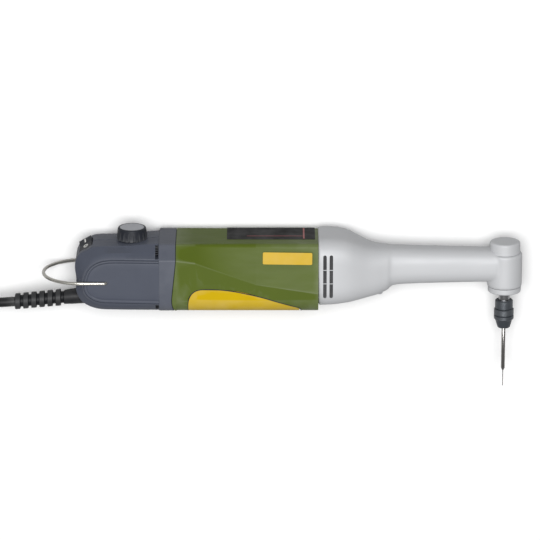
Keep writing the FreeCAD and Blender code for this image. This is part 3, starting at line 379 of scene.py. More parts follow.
def finish(name, base, rough, metal=0.0, grain=900.0, depth=0.15, wear=0.25, clouds=0.06,
           lines=None, spacing=900.0, line_depth=0.0, line_shade=0.0, coat=0.0, shine=0.5):
    """A procedural material; the finishing groups vary its colour, gloss and height."""
    made = bpy.data.materials.new(name)
    made.use_nodes = True
    tree = made.node_tree
    shader = tree.nodes["Principled BSDF"]
    spot = add_node(tree, "ShaderNodeTexCoord").outputs["Object"]
    grained = place_group(tree, grain_group, {"Vector": spot, "Scale": grain})
    worn = place_group(tree, wear_group, {"Vector": spot})
    cloudy = place_group(tree, cloud_group, {"Vector": spot})

    dark = tuple(value * (1 - clouds * 2) for value in base[:3]) + (1.0,)
    light = tuple(min(1.0, value * (1 + clouds * 2)) for value in base[:3]) + (1.0,)
    pale = tuple(value + (1 - value) * PALER_BY for value in base[:3]) + (1.0,)
    tint = mix_colour(tree, cloudy.outputs["Mask"], dark, light)
    tint = mix_colour(tree, math_node(tree, "MULTIPLY", grained.outputs["Speckle"], clouds * 2),
                      tint, dark)
    if lines:
        turned_way = add_node(tree, "ShaderNodeMapping",
                              {"Vector": spot, "Rotation": LINES_ALONG[lines]}).outputs[0]
        lined = place_group(tree, line_group, {"Vector": turned_way, "Spacing": spacing})
        tint = mix_colour(tree, math_node(tree, "MULTIPLY", lined.outputs["Shade"], line_shade),
                          tint, dark)
    tint = mix_colour(tree, math_node(tree, "MULTIPLY", worn.outputs["Mask"], wear), tint, pale)
    tree.links.new(tint, shader.inputs["Base Color"])

    gloss = math_node(tree, "MULTIPLY_ADD", cloudy.outputs["Smear"], SMEAR_GLOSS,
                      rough - SMEAR_GLOSS / 2)
    gloss = math_node(tree, "MULTIPLY_ADD", worn.outputs["Mask"], WORN_GLOSS, gloss, clamp=True)
    tree.links.new(gloss, shader.inputs["Roughness"])
    shader.inputs["Metallic"].default_value = metal
    shader.inputs["Coat Weight"].default_value = coat
    shader.inputs["Coat Roughness"].default_value = COAT_ROUGHNESS
    shader.inputs["Specular IOR Level"].default_value = shine

    bump = add_node(tree, "ShaderNodeBump", {"Height": grained.outputs["Height"],
                                             "Strength": depth, "Distance": BUMP_HEIGHT})
    if lines and line_depth:
        bump = add_node(tree, "ShaderNodeBump",
                        {"Height": lined.outputs["Height"], "Normal": bump.outputs[0],
                         "Strength": line_depth, "Distance": BUMP_HEIGHT})
    tree.links.new(bump.outputs[0], shader.inputs["Normal"])
    return made


print("tool lines may run along", ", ".join(LINES_ALONG))


# %% The finishes of this drill
FINISHES = {
    "green_housing": dict(base=colour(0.35, 0.41, 0.13), rough=0.48, grain=1300, depth=0.22,
                          shine=0.18),
    "yellow_grip": dict(base=colour(0.84, 0.7, 0.02), rough=0.55, grain=1500, depth=0.3,
                        shine=0.1),
    "dark_label": dict(base=colour(0.07, 0.06, 0.07), rough=0.6, depth=0.05, shine=0.02),
    "yellow_badge": dict(base=colour(0.87, 0.71, 0.05), rough=0.5, depth=0.03, shine=0.08),
    "grey_shell": dict(base=colour(0.335, 0.352, 0.4), rough=0.48, grain=1300, depth=0.25,
                       shine=0.2),
    "zinc_screw": dict(base=colour(0.74, 0.74, 0.76), rough=0.3, metal=1.0, depth=0.05),
    "cast_aluminium": dict(base=colour(0.835, 0.84, 0.85), rough=0.6, metal=0.15, grain=1700,
                           depth=0.22, clouds=0.02, wear=0.2),
    "zinc_plate": dict(base=colour(0.7, 0.7, 0.72), rough=0.34, metal=1.0, lines="z",
                       spacing=500, line_shade=0.5),
    "magnet": dict(base=colour(0.2, 0.2, 0.21), rough=0.6, grain=700, depth=0.5),
    "dark_plastic": dict(base=colour(0.18, 0.19, 0.215), rough=0.45, depth=0.25, shine=0.2),
    "bearing_steel": dict(base=colour(0.74, 0.74, 0.76), rough=0.22, metal=1.0, depth=0.03),
    "laminated_steel": dict(base=colour(0.5, 0.5, 0.52), rough=0.4, metal=1.0, lines="x",
                            spacing=320, line_depth=0.5, line_shade=1.0),
    "copper": dict(base=colour(0.76, 0.42, 0.22), rough=0.28, metal=1.0, lines="y",
                   spacing=420, line_depth=0.6, line_shade=1.0),
    "ground_steel": dict(base=colour(0.76, 0.76, 0.77), rough=0.2, metal=1.0, lines="x",
                         spacing=1400, line_depth=0.15, line_shade=0.5),
    "carbon": dict(base=colour(0.11, 0.11, 0.115), rough=0.62, depth=0.35),
    "brass_holder": dict(base=colour(0.78, 0.62, 0.33), rough=0.26, metal=1.0, depth=0.06),
    "spring_steel": dict(base=colour(0.64, 0.64, 0.66), rough=0.26, metal=1.0, depth=0.04),
    "gear_steel": dict(base=colour(0.52, 0.52, 0.55), rough=0.34, metal=1.0, depth=0.1),
    "black_oxide": dict(base=colour(0.33, 0.35, 0.375), rough=0.42, metal=0.5, lines="y",
                        spacing=1300, line_depth=0.25, line_shade=0.8),
    "bit_steel": dict(base=colour(0.7, 0.69, 0.68), rough=0.25, metal=1.0, lines="y",
                      spacing=1600, line_depth=0.04, line_shade=0.3),
    "scale_disc": dict(base=colour(0.66, 0.67, 0.7), rough=0.4, depth=0.12),
    "board": dict(base=colour(0.1, 0.32, 0.17), rough=0.35, coat=0.3, grain=500, depth=0.2),
    "bail_steel": dict(base=colour(0.8, 0.79, 0.76), rough=0.28, metal=0.8, depth=0.02),
    "black_rubber": dict(base=colour(0.11, 0.115, 0.13), rough=0.5, depth=0.3, shine=0.25),
    "black_cord": dict(base=colour(0.07, 0.075, 0.09), rough=0.45, grain=1600, depth=0.3,
                       shine=0.25),
    "plug_brass": dict(base=colour(0.8, 0.72, 0.5), rough=0.22, metal=1.0, depth=0.03),
}
finishes = {slot: finish(slot, **values) for slot, values in FINISHES.items()}
finishes["white_print"] = finish("white_print", colour(0.97, 0.97, 0.95), 0.5)
finishes["red_print"] = finish("red_print", colour(0.62, 0.1, 0.09), 0.45)
FLOOR_WHITE, FLOOR_BOUNCE = (0.93, 0.93, 0.93, 1), (0.54, 0.54, 0.54, 1)
finishes["studio_floor"] = finish("studio_floor", FLOOR_WHITE, 0.8, grain=60,
                                  depth=0.02, wear=0.0, clouds=0.004)
floor_tree = finishes["studio_floor"].node_tree
floor_shader = floor_tree.nodes["Principled BSDF"]
seen_directly = add_node(floor_tree, "ShaderNodeLightPath").outputs["Is Camera Ray"]
floor_paint = floor_shader.inputs["Base Color"].links[0].from_socket
floor_tree.links.new(mix_colour(floor_tree, seen_directly, FLOOR_BOUNCE, floor_paint),
                     floor_shader.inputs["Base Color"])
floor.data.materials.append(finishes["studio_floor"])
mains_lead.data.materials.append(finishes["black_cord"])
print("finishes:", len(finishes))


# %% Give every CAD node its finish
SLOT_OF = {part["node"]: part["material_slot"] for part in frame["record"]["subparts"]}
for name, node in frame["nodes"].items():
    painted = finishes[SLOT_OF[name]]
    if not node.material_slots:
        node.data.materials.append(painted)
    for holder in node.material_slots:
        holder.material = painted
print("nodes dressed:", len(SLOT_OF))


# %% [markdown]
# ## The grey rear shell
# The real shell is moulded in two halves. Each half steps in from a straight
# deck wall over a sloping shoulder to a side panel, framed by two grooves. A
# box with bevels would miss those curves, so the shell is lofted: three drawn
# outlines are smoothed, moved in or out a little for every groove, and
# skinned ring by ring from one side panel to the other.

# %% Tools for lofted meshes
HEAD_X = 155
WELD = 1e-6
MOTOR_AXIS = Vector((sum(corner.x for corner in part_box("spindle")) / 2 - HEAD_X * MM, 0,
                     sum(corner.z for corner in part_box("motor_housing")) / 2))


def at(x, y, z):
    """A point measured in millimetres from the middle of the motor, put in the frame."""
    return MOTOR_AXIS + Vector((x, y, z)) * MM


def through(points, per_span=8):
    """A smooth line through points, as closely set points of its own."""
    line = []
    for i in range(len(points) - 1):
        before, after = points[max(i - 1, 0)], points[min(i + 2, len(points) - 1)]
        for step in range(per_span):
            t = step / per_span
            line.append(tuple(
                0.5 * (2 * b + (c - a) * t + (2 * a - 5 * b + 4 * c - d) * t * t
                       + (3 * b - a - 3 * c + d) * t ** 3)
                for a, b, c, d in zip(before, points[i], points[i + 1], after)))
    line.append(points[-1])
    return line


def moved_in(line, distance, raise_by=0.0, fades=False):
    """The line moved towards its inner side in the side view, and raised; a dip may fade out."""
    moved = []
    for i, (x, y, z) in enumerate(line):
        left = min(1.0, max(0.0, 1.6 - 2 * i / len(line))) if fades else 1.0
        ahead, behind = line[min(i + 1, len(line) - 1)], line[max(i - 1, 0)]
        along = Vector((ahead[0] - behind[0], ahead[1] - behind[1])).normalized()
        moved.append((x - along.y * distance, y + along.x * distance, z + raise_by * left))
    return moved


def new_piece(name, mesh_data, slot_name, body, sharp=32):
    """A finished piece: smooth-shaded up to an angle, painted and riding on a body."""
    bm = bmesh.new()
    bm.from_mesh(mesh_data)
    bmesh.ops.remove_doubles(bm, verts=bm.verts, dist=WELD)
    bmesh.ops.recalc_face_normals(bm, faces=bm.faces)
    for face in bm.faces:
        face.smooth = True
    for edge in bm.edges:
        edge.smooth = len(edge.link_faces) == 2 and edge.calc_face_angle(0) < math.radians(sharp)
    bm.to_mesh(mesh_data)
    bm.free()
    mesh_data.materials.clear()
    mesh_data.materials.append(finishes[slot_name])
    piece = in_scene(name, mesh_data)
    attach(piece, body)
    return piece


def mesh_of(bm, name):
    """The worked form as a plain mesh; the working copy is freed."""
    made = bpy.data.meshes.new(name)
    bm.to_mesh(made)
    bm.free()
    return made


print("motor's middle in metres:", [round(value, 4) for value in MOTOR_AXIS])


# %% Skin the shell
EDGE = [(-52, 17.3, 13.8), (-62, 16.6, 13.6), (-76, 15.4, 13.2), (-91.4, 15.1, 13),
        (-96.7, 12.6, 12.6), (-101.7, 9.6, 12.4), (-103.9, 3.4, 12.5), (-103.2, -5, 13),
        (-103.2, -13, 13.5), (-99.4, -19.3, 15), (-91, -23.0, 16), (-78, -23.6, 16.5),
        (-52, -23.6, 17)]
SHOULDER = [(-52, 13.4, 19.6), (-62, 13, 19.6), (-76, 12.6, 19.5), (-86, 12.2, 19.4),
            (-92, 10.4, 19.3), (-96.2, 6.9, 19), (-99.2, 2.4, 18.8), (-100.4, -4.5, 18.8),
            (-99.8, -11, 19), (-96.3, -16.2, 19.4), (-89.5, -19.8, 20), (-78, -20.6, 20.4),
            (-52, -20.6, 20.8)]
PANEL = [(-52, 9.7, 24), (-62, 9.6, 23.3), (-76, 9.4, 22.1), (-84, 9.1, 21.7),
         (-89.5, 7.8, 21.5), (-93.8, 5.2, 21.5), (-96.6, 1.2, 21.5), (-98.2, -4.5, 21.5),
         (-97.6, -10.5, 21.5), (-94.3, -14.6, 21.5), (-88.5, -16.9, 21.7), (-78, -17.3, 22.1),
         (-52, -17.3, 24)]
edge_line, shoulder_line, panel_line = through(EDGE), through(SHOULDER), through(PANEL)
flat_edge = [(x, y, 0) for x, y, z in edge_line]
SEAM = [(0.35, 0.0), (0.35, 0.2), (0.0, 0.45)]
WALL_TOP = [(0.0, -0.6), (0.12, -0.2), (0.45, 0.1)]
SHOULDER_FOLD = [(-0.35, -0.35), (0.25, 0.15)]
PANEL_FRAME = [(-0.9, -0.25), (-0.5, -0.1), (-0.25, -0.9), (0.25, -0.9), (0.5, 0), (1.1, 0.05)]
SECOND_GROOVE = [(1.3, -0.45), (1.6, -0.45)]
PANEL_FACE = [(1.9, 0.2), (3.0, 0.35), (5.5, 0.4)]
rings = []
for line, moves in ((flat_edge, SEAM), (edge_line, WALL_TOP), (shoulder_line, SHOULDER_FOLD),
                    (panel_line, PANEL_FRAME), (panel_line, SECOND_GROOVE),
                    (panel_line, PANEL_FACE)):
    rings += [moved_in(line, distance, raise_by, fades=moves is SECOND_GROOVE)
              for distance, raise_by in moves]
rings = [[(x, y, -z) for x, y, z in ring] for ring in reversed(rings[1:])] + rings

count = len(rings[0])
bm = bmesh.new()
grid = [[bm.verts.new(at(*point)) for point in ring] for ring in rings]
for lower, upper in zip(grid, grid[1:]):
    for i in range(count - 1):
        bm.faces.new((lower[i], lower[i + 1], upper[i + 1], upper[i]))
for ring in (grid[0], grid[-1]):
    for i in range(count // 2):
        corners = (ring[i], ring[i + 1], ring[count - 2 - i], ring[count - 1 - i])
        bm.faces.new([c for n, c in enumerate(corners) if c not in corners[:n]])
bmesh.ops.holes_fill(bm, edges=[e for e in bm.edges if len(e.link_faces) == 1], sides=0)
bmesh.ops.recalc_face_normals(bm, faces=bm.faces)
shell_mesh = mesh_of(bm, "rear_shell")
print("shell faces before its openings:", len(shell_mesh.polygons))


# %% Cut the switch opening and the air inlets
def box_mesh(low, high, turn=0.0, centre=(0, 0)):
    """A block between two corners, in millimetres, turned about a point in the side view."""
    corners = []
    for x in (low[0], high[0]):
        for y in (low[1], high[1]):
            for z in (low[2], high[2]):
                across = x * math.cos(turn) - y * math.sin(turn)
                up = x * math.sin(turn) + y * math.cos(turn)
                corners.append(at(centre[0] + across, centre[1] + up, z))
    sides = [(0, 1, 3, 2), (4, 6, 7, 5), (0, 4, 5, 1), (2, 3, 7, 6), (0, 2, 6, 4), (1, 5, 7, 3)]
    block = bpy.data.meshes.new("block")
    block.from_pydata(corners, [], sides)
    return block


SWITCH_CENTRE, SWITCH_LEAN = (-97.4, 12.3), math.radians(30)
INLET_REAR, INLET_FRONT = -55.4, -53.4
INLETS = ((10.4, 16.4, 11), (-22.6, -18.4, 12))
THROUGH = 30
SIDES_OF_TOOL = ((1, "near"), (-1, "far"))
cutters = [box_mesh((-4.5, -13.4, -7.8), (4.5, 8, 7.8), SWITCH_LEAN, SWITCH_CENTRE)]
for side, side_name in SIDES_OF_TOOL:
    for bottom, top, inner in INLETS:
        z_low, z_high = sorted((side * inner, side * THROUGH))
        cutters.append(box_mesh((INLET_REAR, bottom, z_low), (INLET_FRONT, top, z_high)))


def cut_out(form, blocks, name, slot_name, sharp):
    """The form with every block cut out of it, as a finished piece of the root body."""
    holders = [in_scene("cutter", block) for block in blocks]
    for holder in holders:
        cut = form.modifiers.new("opening", "BOOLEAN")
        cut.operation, cut.object, cut.solver = "DIFFERENCE", holder, "EXACT"
    piece = new_piece(name, baked(form), slot_name, "root", sharp=sharp)
    for holder in holders:
        bpy.data.objects.remove(holder)
    return piece


rear_shell = cut_out(in_scene("rear_shell_form", shell_mesh), cutters, "rear_shell",
                     "grey_shell", sharp=28)
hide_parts("rear_shell_left", "rear_shell_right")
print("shell faces:", len(rear_shell.data.polygons))


# %% [markdown]
# ## The collar and its wavy joint
# The shell ends in a collar with the motor housing's own cross-section. The
# green housing laps over it in a slow wave. Both are sleeves between two
# edges, so one function makes them: it rounds the section's corners, and
# skins it from a rear edge to a front edge that may change with the height.

# %% Collar and housing lip
SECTION = [(-23.7, -24.5, 9), (-23.7, 24.5, 9), (9.8, 24.5, 2), (17.8, 17, 3), (17.8, -17, 3),
           (9.8, -24.5, 2)]
WAVE = [(-24, -44.0), (-17.5, -45.5), (-10, -45.7), (0.3, -43.9), (9, -43.05), (18, -43.1)]


def rounded_section(corners, inset=0.0, per_corner=7):
    """A closed outline of (y, z) with its corners rounded."""
    outline = []
    for i, (y, z, radius) in enumerate(corners):
        here = Vector((y, z)) * (1 - inset / 20)
        back = Vector(corners[i - 1][:2]) * (1 - inset / 20) - here
        ahead = Vector(corners[(i + 1) % len(corners)][:2]) * (1 - inset / 20) - here
        reach = radius / math.tan(back.angle(ahead) / 2)
        first, last = here + back.normalized() * reach, here + ahead.normalized() * reach
        for step in range(per_corner):
            t = step / (per_corner - 1)
            outline.append(first * (1 - t) ** 2 + here * 2 * t * (1 - t) + last * t ** 2)
    return outline


def wave_at(y):
    """Where the wavy joint lies along the tool, at a height."""
    for (low, start), (high, end) in zip(WAVE, WAVE[1:]):
        if y <= high:
            share = max(0.0, (y - low) / (high - low))
            share = share * share * (3 - 2 * share)
            return start + (end - start) * share
    return WAVE[-1][1]


def skin(bm, loops):
    """Faces from each closed loop to the next, and a cap on the first and on the last."""
    for lower, upper in zip(loops, loops[1:]):
        for i in range(len(lower)):
            j = (i + 1) % len(lower)
            bm.faces.new((lower[i], lower[j], upper[j], upper[i]))
    bm.faces.new(loops[0])
    bm.faces.new(loops[-1])


def sleeve(name, edges, slot_name):
    """A closed sleeve through edges, each one an inset and a place along the tool."""
    bm = bmesh.new()
    skin(bm, [[bm.verts.new(at(place(y), y, z)) for y, z in rounded_section(SECTION, inset)]
              for inset, place in edges])
    return new_piece(name, mesh_of(bm, name), slot_name, "root", sharp=24)


sleeve("shell_collar", [(0.8, lambda y: -53.5), (0.3, lambda y: -53.4), (0, lambda y: -53),
                        (0, lambda y: wave_at(y) - 0.45), (0.25, lambda y: wave_at(y) - 0.2),
                        (0.8, lambda y: wave_at(y) - 0.2)], "grey_shell")
sleeve("housing_lip", [(0.6, lambda y: wave_at(y)), (0.2, lambda y: wave_at(y)),
                       (-0.02, lambda y: wave_at(y) + 0.25), (-0.02, lambda y: -42.7)],
       "green_housing")
print("sleeves: shell_collar, housing_lip")


# %% [markdown]
# ## Bars in the air inlets
# Thin bars keep fingers out of the inlets. They repeat at an even pitch, so
# Geometry Nodes make them: a line of points, a bar on each, then real meshes.

# %% A tree that repeats a bar along a line
def repeat_tree(name):
    """A node tree with named sizes: a row of equal bars, each one pitch from the last."""
    tree = bpy.data.node_groups.new(name, "GeometryNodeTree")
    for socket, kind, value in (("Count", "NodeSocketInt", 5), ("Start", "NodeSocketVector", None),
                                ("Pitch", "NodeSocketVector", None),
                                ("Bar", "NodeSocketVector", None),
                                ("Material", "NodeSocketMaterial", None)):
        made = tree.interface.new_socket(socket, in_out="INPUT", socket_type=kind)
        if value is not None:
            made.default_value = value
    tree.interface.new_socket("Geometry", in_out="OUTPUT", socket_type="NodeSocketGeometry")
    given, result = tree.nodes.new("NodeGroupInput"), tree.nodes.new("NodeGroupOutput")
    row = add_node(tree, "GeometryNodeMeshLine", {"Count": given.outputs["Count"],
                                                  "Start Location": given.outputs["Start"],
                                                  "Offset": given.outputs["Pitch"]}, mode="OFFSET")
    bar = add_node(tree, "GeometryNodeMeshCube", {"Size": given.outputs["Bar"]})
    placed = add_node(tree, "GeometryNodeInstanceOnPoints",
                      {"Points": row.outputs[0], "Instance": bar.outputs["Mesh"]})
    real = add_node(tree, "GeometryNodeRealizeInstances", {0: placed.outputs[0]})
    painted = add_node(tree, "GeometryNodeSetMaterial",
                       {"Geometry": real.outputs[0], "Material": given.outputs["Material"]})
    tree.links.new(painted.outputs[0], result.inputs[0])
    return tree


def grown(name, tree, values, slot_name, body):
    """The plain piece that a Geometry Nodes tree makes with these named values."""
    holder = in_scene(name + "_seed", bpy.data.meshes.new(name + "_seed"))
    modifier = holder.modifiers.new("grow", "NODES")
    modifier.node_group = tree
    sockets = {item.name: item.identifier for item in tree.interface.items_tree
               if item.in_out == "INPUT"}
    for key, value in {**values, "Material": finishes[slot_name]}.items():
        modifier[sockets[key]] = value
    return new_piece(name, baked(holder), slot_name, body)


bars = repeat_tree("inlet_bars")
BAR_X, BAR_PITCH = -54.4, (0, 1.4 * MM, 0)
BAR_SIZE = (1.9 * MM, 0.35 * MM, 3 * MM)
for label, lowest, number, out in (("upper", 11.4, 4, 15.5), ("lower", -21.9, 3, 17)):
    for side, side_name in SIDES_OF_TOOL:
        grown("inlet_bars_%s_%s" % (label, side_name), bars,
              {"Count": number, "Start": tuple(at(BAR_X, lowest, side * out)),
               "Pitch": BAR_PITCH, "Bar": BAR_SIZE},
              "dark_plastic", "root")


# %% [markdown]
# ## The cast gear case
# The casting swells round the gears, narrows to a long neck and meets the
# head in a soft fillet, with no sharp line anywhere. Sections are skinned
# into a closed form, a head is added, and a voxel remesh with a little
# smoothing melts them together, as a casting's radii do. The vent slots are
# cut last, so their edges stay crisp.

# %% Cast body, neck and head
# Each station is a place along the tool, half the width, the top, the bottom
# and the radius of the corners. Each level of a drum is a height and a radius.
CASE_STATIONS = [(42.35, 21.6, 19.5, -21.2, 12), (43.2, 22.1, 19.9, -21.6, 12),
                 (50, 22.0, 19.9, -21.4, 12), (56, 21.4, 19.4, -20.9, 12),
                 (61, 20.4, 18.2, -20.4, 12), (66, 18.8, 16, -19.6, 12),
                 (72, 16.6, 13.4, -18.5, 11.8), (78, 14.6, 11.9, -17.2, 11),
                 (84, 12.6, 11.5, -14.8, 10.2), (90, 11.2, 11.2, -11.6, 9.6),
                 (120, 10.5, 10.5, -10.5, 9), (150, 9.9, 9.9, -9.9, 8.5)]
CASE_VOXEL = 0.7 * MM
HEAD_LEVELS = [(-13.6, 10.1), (-13.1, 10.5), (7.0, 10.5), (7.5, 10.0)]
LUG_X, LUG_Z, LUG_LEVELS = 79.7, 2, [(-18.6, 1.0), (-18.0, 1.8), (-11.0, 2.4)]


def case_section(half_width, top, bottom, radius):
    """A rounded-square section of the casting, as (y, z) points."""
    corners = [(bottom, -half_width, radius), (bottom, half_width, radius),
               (top, half_width, radius), (top, -half_width, radius)]
    return rounded_section(corners, per_corner=9)


def add_drum(bm, x, z, levels, sides=48):
    """A closed drum round an upright axis, through (height, radius) levels."""
    skin(bm, [[bm.verts.new(at(x + radius * math.cos(2 * math.pi * i / sides), height,
                               z + radius * math.sin(2 * math.pi * i / sides)))
               for i in range(sides)] for height, radius in levels])


bm = bmesh.new()
skin(bm, [[bm.verts.new(at(x, y, z)) for y, z in case_section(*sizes)]
          for x, *sizes in through(CASE_STATIONS, per_span=4)])
add_drum(bm, HEAD_X, 0, HEAD_LEVELS)
add_drum(bm, LUG_X, LUG_Z, LUG_LEVELS, sides=24)
bmesh.ops.recalc_face_normals(bm, faces=bm.faces)
case = in_scene("gear_case_form", mesh_of(bm, "gear_case_cast"))
melt = case.modifiers.new("melt", "REMESH")
melt.mode, melt.voxel_size = "VOXEL", CASE_VOXEL
soften = case.modifiers.new("soften", "SMOOTH")
soften.factor, soften.iterations = 0.5, 7
print("sections along the case:", len(through(CASE_STATIONS, per_span=4)))


# %% Cut the vents
VENT_X, VENT_Y, VENT_HALF = (46.2, 50.0), (-13.7, 11.3), 1.05


def slot_mesh(x):
    """A vent slot's cutter: a long hole with round ends, right through the casting's sides."""
    outline = []
    for end, turn in ((VENT_Y[1], 0), (VENT_Y[0], math.pi)):
        outline += [(x + VENT_HALF * math.cos(turn + math.pi * n / 8),
                     end + VENT_HALF * math.sin(turn + math.pi * n / 8)) for n in range(9)]
    bm = bmesh.new()
    near = [bm.verts.new(at(px, py, THROUGH)) for px, py in outline]
    far = [bm.verts.new(at(px, py, -THROUGH)) for px, py in outline]
    bm.faces.new(near)
    bm.faces.new(far)
    for i in range(len(near)):
        j = (i + 1) % len(near)
        bm.faces.new((near[i], near[j], far[j], far[i]))
    bmesh.ops.recalc_face_normals(bm, faces=bm.faces)
    return mesh_of(bm, "vent_slot")


cast_case = cut_out(case, [slot_mesh(x) for x in VENT_X], "cast_gear_case",
                    "cast_aluminium", sharp=40)
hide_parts("gear_case")
print("gear case faces:", len(cast_case.data.polygons))


# %% [markdown]
# ## Behind the vents
# The slots open on the inside, where the fan turns and lies in shade. A dark
# block behind each slot is painted shade, and two thin ribs cross the pair of slots.
# The ribs are a row of bars again, so the inlets' tree makes them too.

# %% Painted shade behind the vents, and ribs
SHADE_BLOCK_MARGIN, SHADE_BLOCK_INNER, SHADE_BLOCK_OUTER = 1.2, 14, 20.2
bm = bmesh.new()
for x in VENT_X:
    for side, side_name in SIDES_OF_TOOL:
        z_low, z_high = sorted((side * SHADE_BLOCK_INNER, side * SHADE_BLOCK_OUTER))
        shade_block = box_mesh((x - SHADE_BLOCK_MARGIN, VENT_Y[0] - SHADE_BLOCK_MARGIN, z_low),
                          (x + SHADE_BLOCK_MARGIN, VENT_Y[1] + SHADE_BLOCK_MARGIN, z_high))
        bm.from_mesh(shade_block)
        bpy.data.meshes.remove(shade_block)
# The dark blocks are painted shade, put where the inside of the casting lies in shade.
new_piece("vent_shade_blocks", mesh_of(bm, "vent_shade_blocks"), "black_rubber", "root")
RIB_X, RIB_Y, RIB_OUT = 48.1, -5.9, 20.35
for side, side_name in SIDES_OF_TOOL:
    grown("vent_ribs_" + side_name, bars,
          {"Count": 2, "Start": tuple(at(RIB_X, RIB_Y, side * RIB_OUT)),
           "Pitch": (0, 8.5 * MM, 0), "Bar": (6.4 * MM, 0.4 * MM, 0.4 * MM)},
          "cast_aluminium", "root")
print("shade_blocks:", len(VENT_X) * len(SIDES_OF_TOOL))


# %% [markdown]
# ## The strain relief
# A rubber sleeve keeps the lead from kinking at the shell. It is plain at its
# root, then cut into collars so that it bends evenly. The sleeve is round
# about a line that falls towards its end, so rings of a changing radius are
# skinned along that line; a loop writes one gap and one collar at a time.

# %% Ribbed sleeve
RELIEF_ROOT, RELIEF_END, RELIEF_FALL = -97.0, -141.0, math.tan(math.radians(5.5))
RELIEF_SIDES = 40
COLLARS, COLLAR_PITCH, GAP = 6, 4.9, 1.5
FIRST_GAP, CORE, COLLAR_RADIUS, TAPER, CHAMFER = -111.6, 3.55, 5.05, 0.04, 0.3
relief_profile = [(RELIEF_ROOT, 5.0), (-106, 4.7), (-111.2, 4.3)]
for collar in range(COLLARS):
    start = FIRST_GAP - collar * COLLAR_PITCH
    full = COLLAR_RADIUS - TAPER * collar
    relief_profile += [(start, CORE), (start - GAP, CORE), (start - GAP - 0.15, full - CHAMFER),
                       (start - GAP - 0.45, full), (start - COLLAR_PITCH + 0.35, full),
                       (start - COLLAR_PITCH + 0.05, full - CHAMFER)]
relief_profile[-1] = (RELIEF_END, 4.5)


def relief_ring(bm, x, radius):
    """A ring of the sleeve, round the falling line that is its middle."""
    middle = -19.7 + (x + 99) * RELIEF_FALL
    return [bm.verts.new(at(x, middle + radius * math.cos(2 * math.pi * i / RELIEF_SIDES),
                            radius * math.sin(2 * math.pi * i / RELIEF_SIDES)))
            for i in range(RELIEF_SIDES)]


bm = bmesh.new()
skin(bm, [relief_ring(bm, x, radius) for x, radius in relief_profile])
ribbed_relief = new_piece("ribbed_relief", mesh_of(bm, "ribbed_relief"), "black_rubber", "root",
                          sharp=30)
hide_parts("strain_relief")
print("collars:", COLLARS)


# %% [markdown]
# ## Switch marks and the label's lines
# The rocker carries moulded marks, a bar for on and a ring for off. They are
# real relief, about a tenth of a millimetre proud, because a painted mark
# would vanish from the exported shape. The label's red lines are thin strips.

# %% Marks on the rocker
MARK_SUNK, MARK_PROUD = -0.1, 0.12


def on_rocker(along, out, z):
    """A point in the frame, given along the leaning rocker, out from it and across it."""
    cosine, sine = math.cos(SWITCH_LEAN), math.sin(SWITCH_LEAN)
    return at(SWITCH_CENTRE[0] + along * cosine - out * sine,
              SWITCH_CENTRE[1] + along * sine + out * cosine, z)


def rocker_top(z):
    """The rocker's own height above its pivot line, across its two faces."""
    return 0.7 - 1.7 * z / 6.6 if z < 0 else 0.7 - 0.5 * z / 6.6


bm = bmesh.new()
mark_on = [(-0.4, -5.3), (0.4, -5.3), (0.4, -1.9), (-0.4, -1.9)]
lower = [bm.verts.new(on_rocker(a, rocker_top(z) + MARK_SUNK, z)) for a, z in mark_on]
upper = [bm.verts.new(on_rocker(a, rocker_top(z) + MARK_PROUD, z)) for a, z in mark_on]
bm.faces.new(lower)
bm.faces.new(upper)
for i in range(4):
    j = (i + 1) % 4
    bm.faces.new((lower[i], lower[j], upper[j], upper[i]))
RING_STEPS, RING_Z, RING_SQUASH = 28, 3.4, 0.8
RING_OUTER, RING_INNER = 1.9, 1.15
ring_rows = []
for i in range(RING_STEPS):
    angle = 2 * math.pi * i / RING_STEPS
    row = []
    for radius, lift in ((RING_OUTER, MARK_SUNK), (RING_OUTER, MARK_PROUD),
                         (RING_INNER, MARK_PROUD), (RING_INNER, MARK_SUNK)):
        z = RING_Z + radius * math.sin(angle)
        along = radius * RING_SQUASH * math.cos(angle)
        row.append(bm.verts.new(on_rocker(along, rocker_top(z) + lift, z)))
    ring_rows.append(row)
for i in range(RING_STEPS):
    first, second = ring_rows[i], ring_rows[(i + 1) % RING_STEPS]
    for k in range(4):
        bm.faces.new((first[k], first[(k + 1) % 4], second[(k + 1) % 4], second[k]))
switch_marks = new_piece("switch_marks", mesh_of(bm, "switch_marks"), "white_print",
                         "switch_rocker")
print("mark faces:", len(switch_marks.data.polygons))


# %% Lines on the rating label
label_low, label_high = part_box("rating_label")
bm = bmesh.new()


def strip(x_low, x_high, z_low, z_high):
    """A thin closed strip, half sunk in the label's face."""
    top = label_high.y
    corners = [bm.verts.new((x, y, z)) for y in (top - 0.05 * MM, top + 0.04 * MM)
               for x, z in ((x_low, z_low), (x_high, z_low), (x_high, z_high), (x_low, z_high))]
    bm.faces.new(corners[:4])
    bm.faces.new(corners[4:])
    for i in range(4):
        j = (i + 1) % 4
        bm.faces.new((corners[i], corners[j], corners[4 + j], corners[4 + i]))


across = label_low.z + 0.72 * (label_high.z - label_low.z)
strip(label_low.x + 12 * MM, label_high.x - 7.2 * MM, across, across + 0.5 * MM)
strip(label_high.x - 7.2 * MM, label_high.x - 6.3 * MM,
      label_low.z + 1 * MM, label_high.z - 1 * MM)
label_lines = new_piece("label_lines", mesh_of(bm, "label_lines"), "red_print", "root")
print("label line faces:", len(label_lines.data.polygons))


# %% [markdown]
# ## The dark line round the grip inlay
# Where soft plastic is moulded into hard, a thin dark gap shows. The line
# follows the inlay's outline along the flat side and over the round belly,
# so its height comes from the housing's own section.

# %% Inlay seam
FLAT_SIDE, CORNER_TOP, CORNER_RADIUS = 24.5, -14.7, 9


def housing_side(y):
    """Half the housing's width at a height, on the flat side or on the belly's round corner."""
    if y > CORNER_TOP:
        return FLAT_SIDE
    return FLAT_SIDE - CORNER_RADIUS + math.sqrt(max(0.0, CORNER_RADIUS ** 2
                                                     - (y - CORNER_TOP) ** 2))


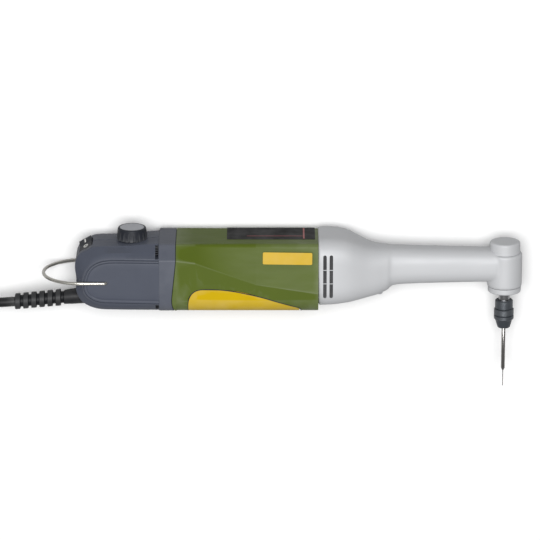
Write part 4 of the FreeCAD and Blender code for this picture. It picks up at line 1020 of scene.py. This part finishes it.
INLAY = [(-35.9, -22.6), (-35.9, -20.5), (-35.9, -17.5), (-35.4, -14), (-33.6, -10.8), (-31, -9),
         (-28, -8.25), (-22, -8.2), (-15, -8.55), (-8, -9.5), (0, -11.2), (8, -13.1), (16, -15.6),
         (24, -18.1), (29, -19.7), (31.1, -20.6), (31.9, -21.9), (32, -22.9)]
SEAM_WIDTH = 0.55 * MM
for side, side_name in SIDES_OF_TOOL:
    seam_points = [tuple(value / MM for value in at(x, y, side * housing_side(y)))
                   for x, y in INLAY]
    seam_line = round_curve("inlay_seam_" + side_name + "_line", seam_points, SEAM_WIDTH)
    new_piece("inlay_seam_" + side_name, baked(seam_line), "dark_plastic", "root", sharp=60)
print("seams follow", len(INLAY), "points")


# %% [markdown]
# ## The drill bit's flutes
# Two helical flutes make a bit cut. They are worked into the thin point: each
# ring of it is a two-lobed outline, and every ring is turned a little further
# than the one before.

# %% Fluted bit
bit_low, bit_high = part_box("drill_bit")
bit_x, bit_z = (bit_low.x + bit_high.x) / 2, (bit_low.z + bit_high.z) / 2
SHANK, POINT, SHANK_LENGTH, CONE = 1.175, 0.3, 34.2, 1.7
TIP_LENGTH, TIP = 0.5, 0.03
FLUTE_PITCH, FLUTE_DEPTH, RUN_IN = 1.6, 0.38, 0.6
BIT_SIDES, BIT_STEPS = 24, 60
bit_length = (bit_high.y - bit_low.y) / MM
profile = [(0.0, 0.9), (0.25, SHANK), (SHANK_LENGTH, SHANK), (SHANK_LENGTH + CONE, POINT)]
fluted_from = SHANK_LENGTH + CONE
profile += [(fluted_from + (bit_length - TIP_LENGTH - fluted_from) * n / BIT_STEPS, POINT)
            for n in range(1, BIT_STEPS + 1)]
profile.append((bit_length, TIP))
bm = bmesh.new()
rows = []
for depth, radius in profile:
    into = max(0.0, depth - fluted_from)
    flute = min(1.0, into / RUN_IN)
    twist = into / FLUTE_PITCH * 2 * math.pi
    row = []
    for i in range(BIT_SIDES):
        angle = 2 * math.pi * i / BIT_SIDES
        lobe = 1 - FLUTE_DEPTH * flute * max(0.0, math.cos(2 * (angle - twist))) ** 2
        row.append(bm.verts.new((bit_x + radius * lobe * MM * math.cos(angle),
                                 bit_high.y - depth * MM,
                                 bit_z + radius * lobe * MM * math.sin(angle))))
    rows.append(row)
skin(bm, rows)
fluted_bit = new_piece("fluted_bit", mesh_of(bm, "fluted_bit"), "bit_steel", "drill_bit",
                       sharp=50)
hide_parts("drill_bit")
print("bit length in mm:", round(bit_length, 1))


# %% [markdown]
# ## The last update
# The view layer is brought up to date once more.

# %% Update the scene
bpy.context.view_layer.update()
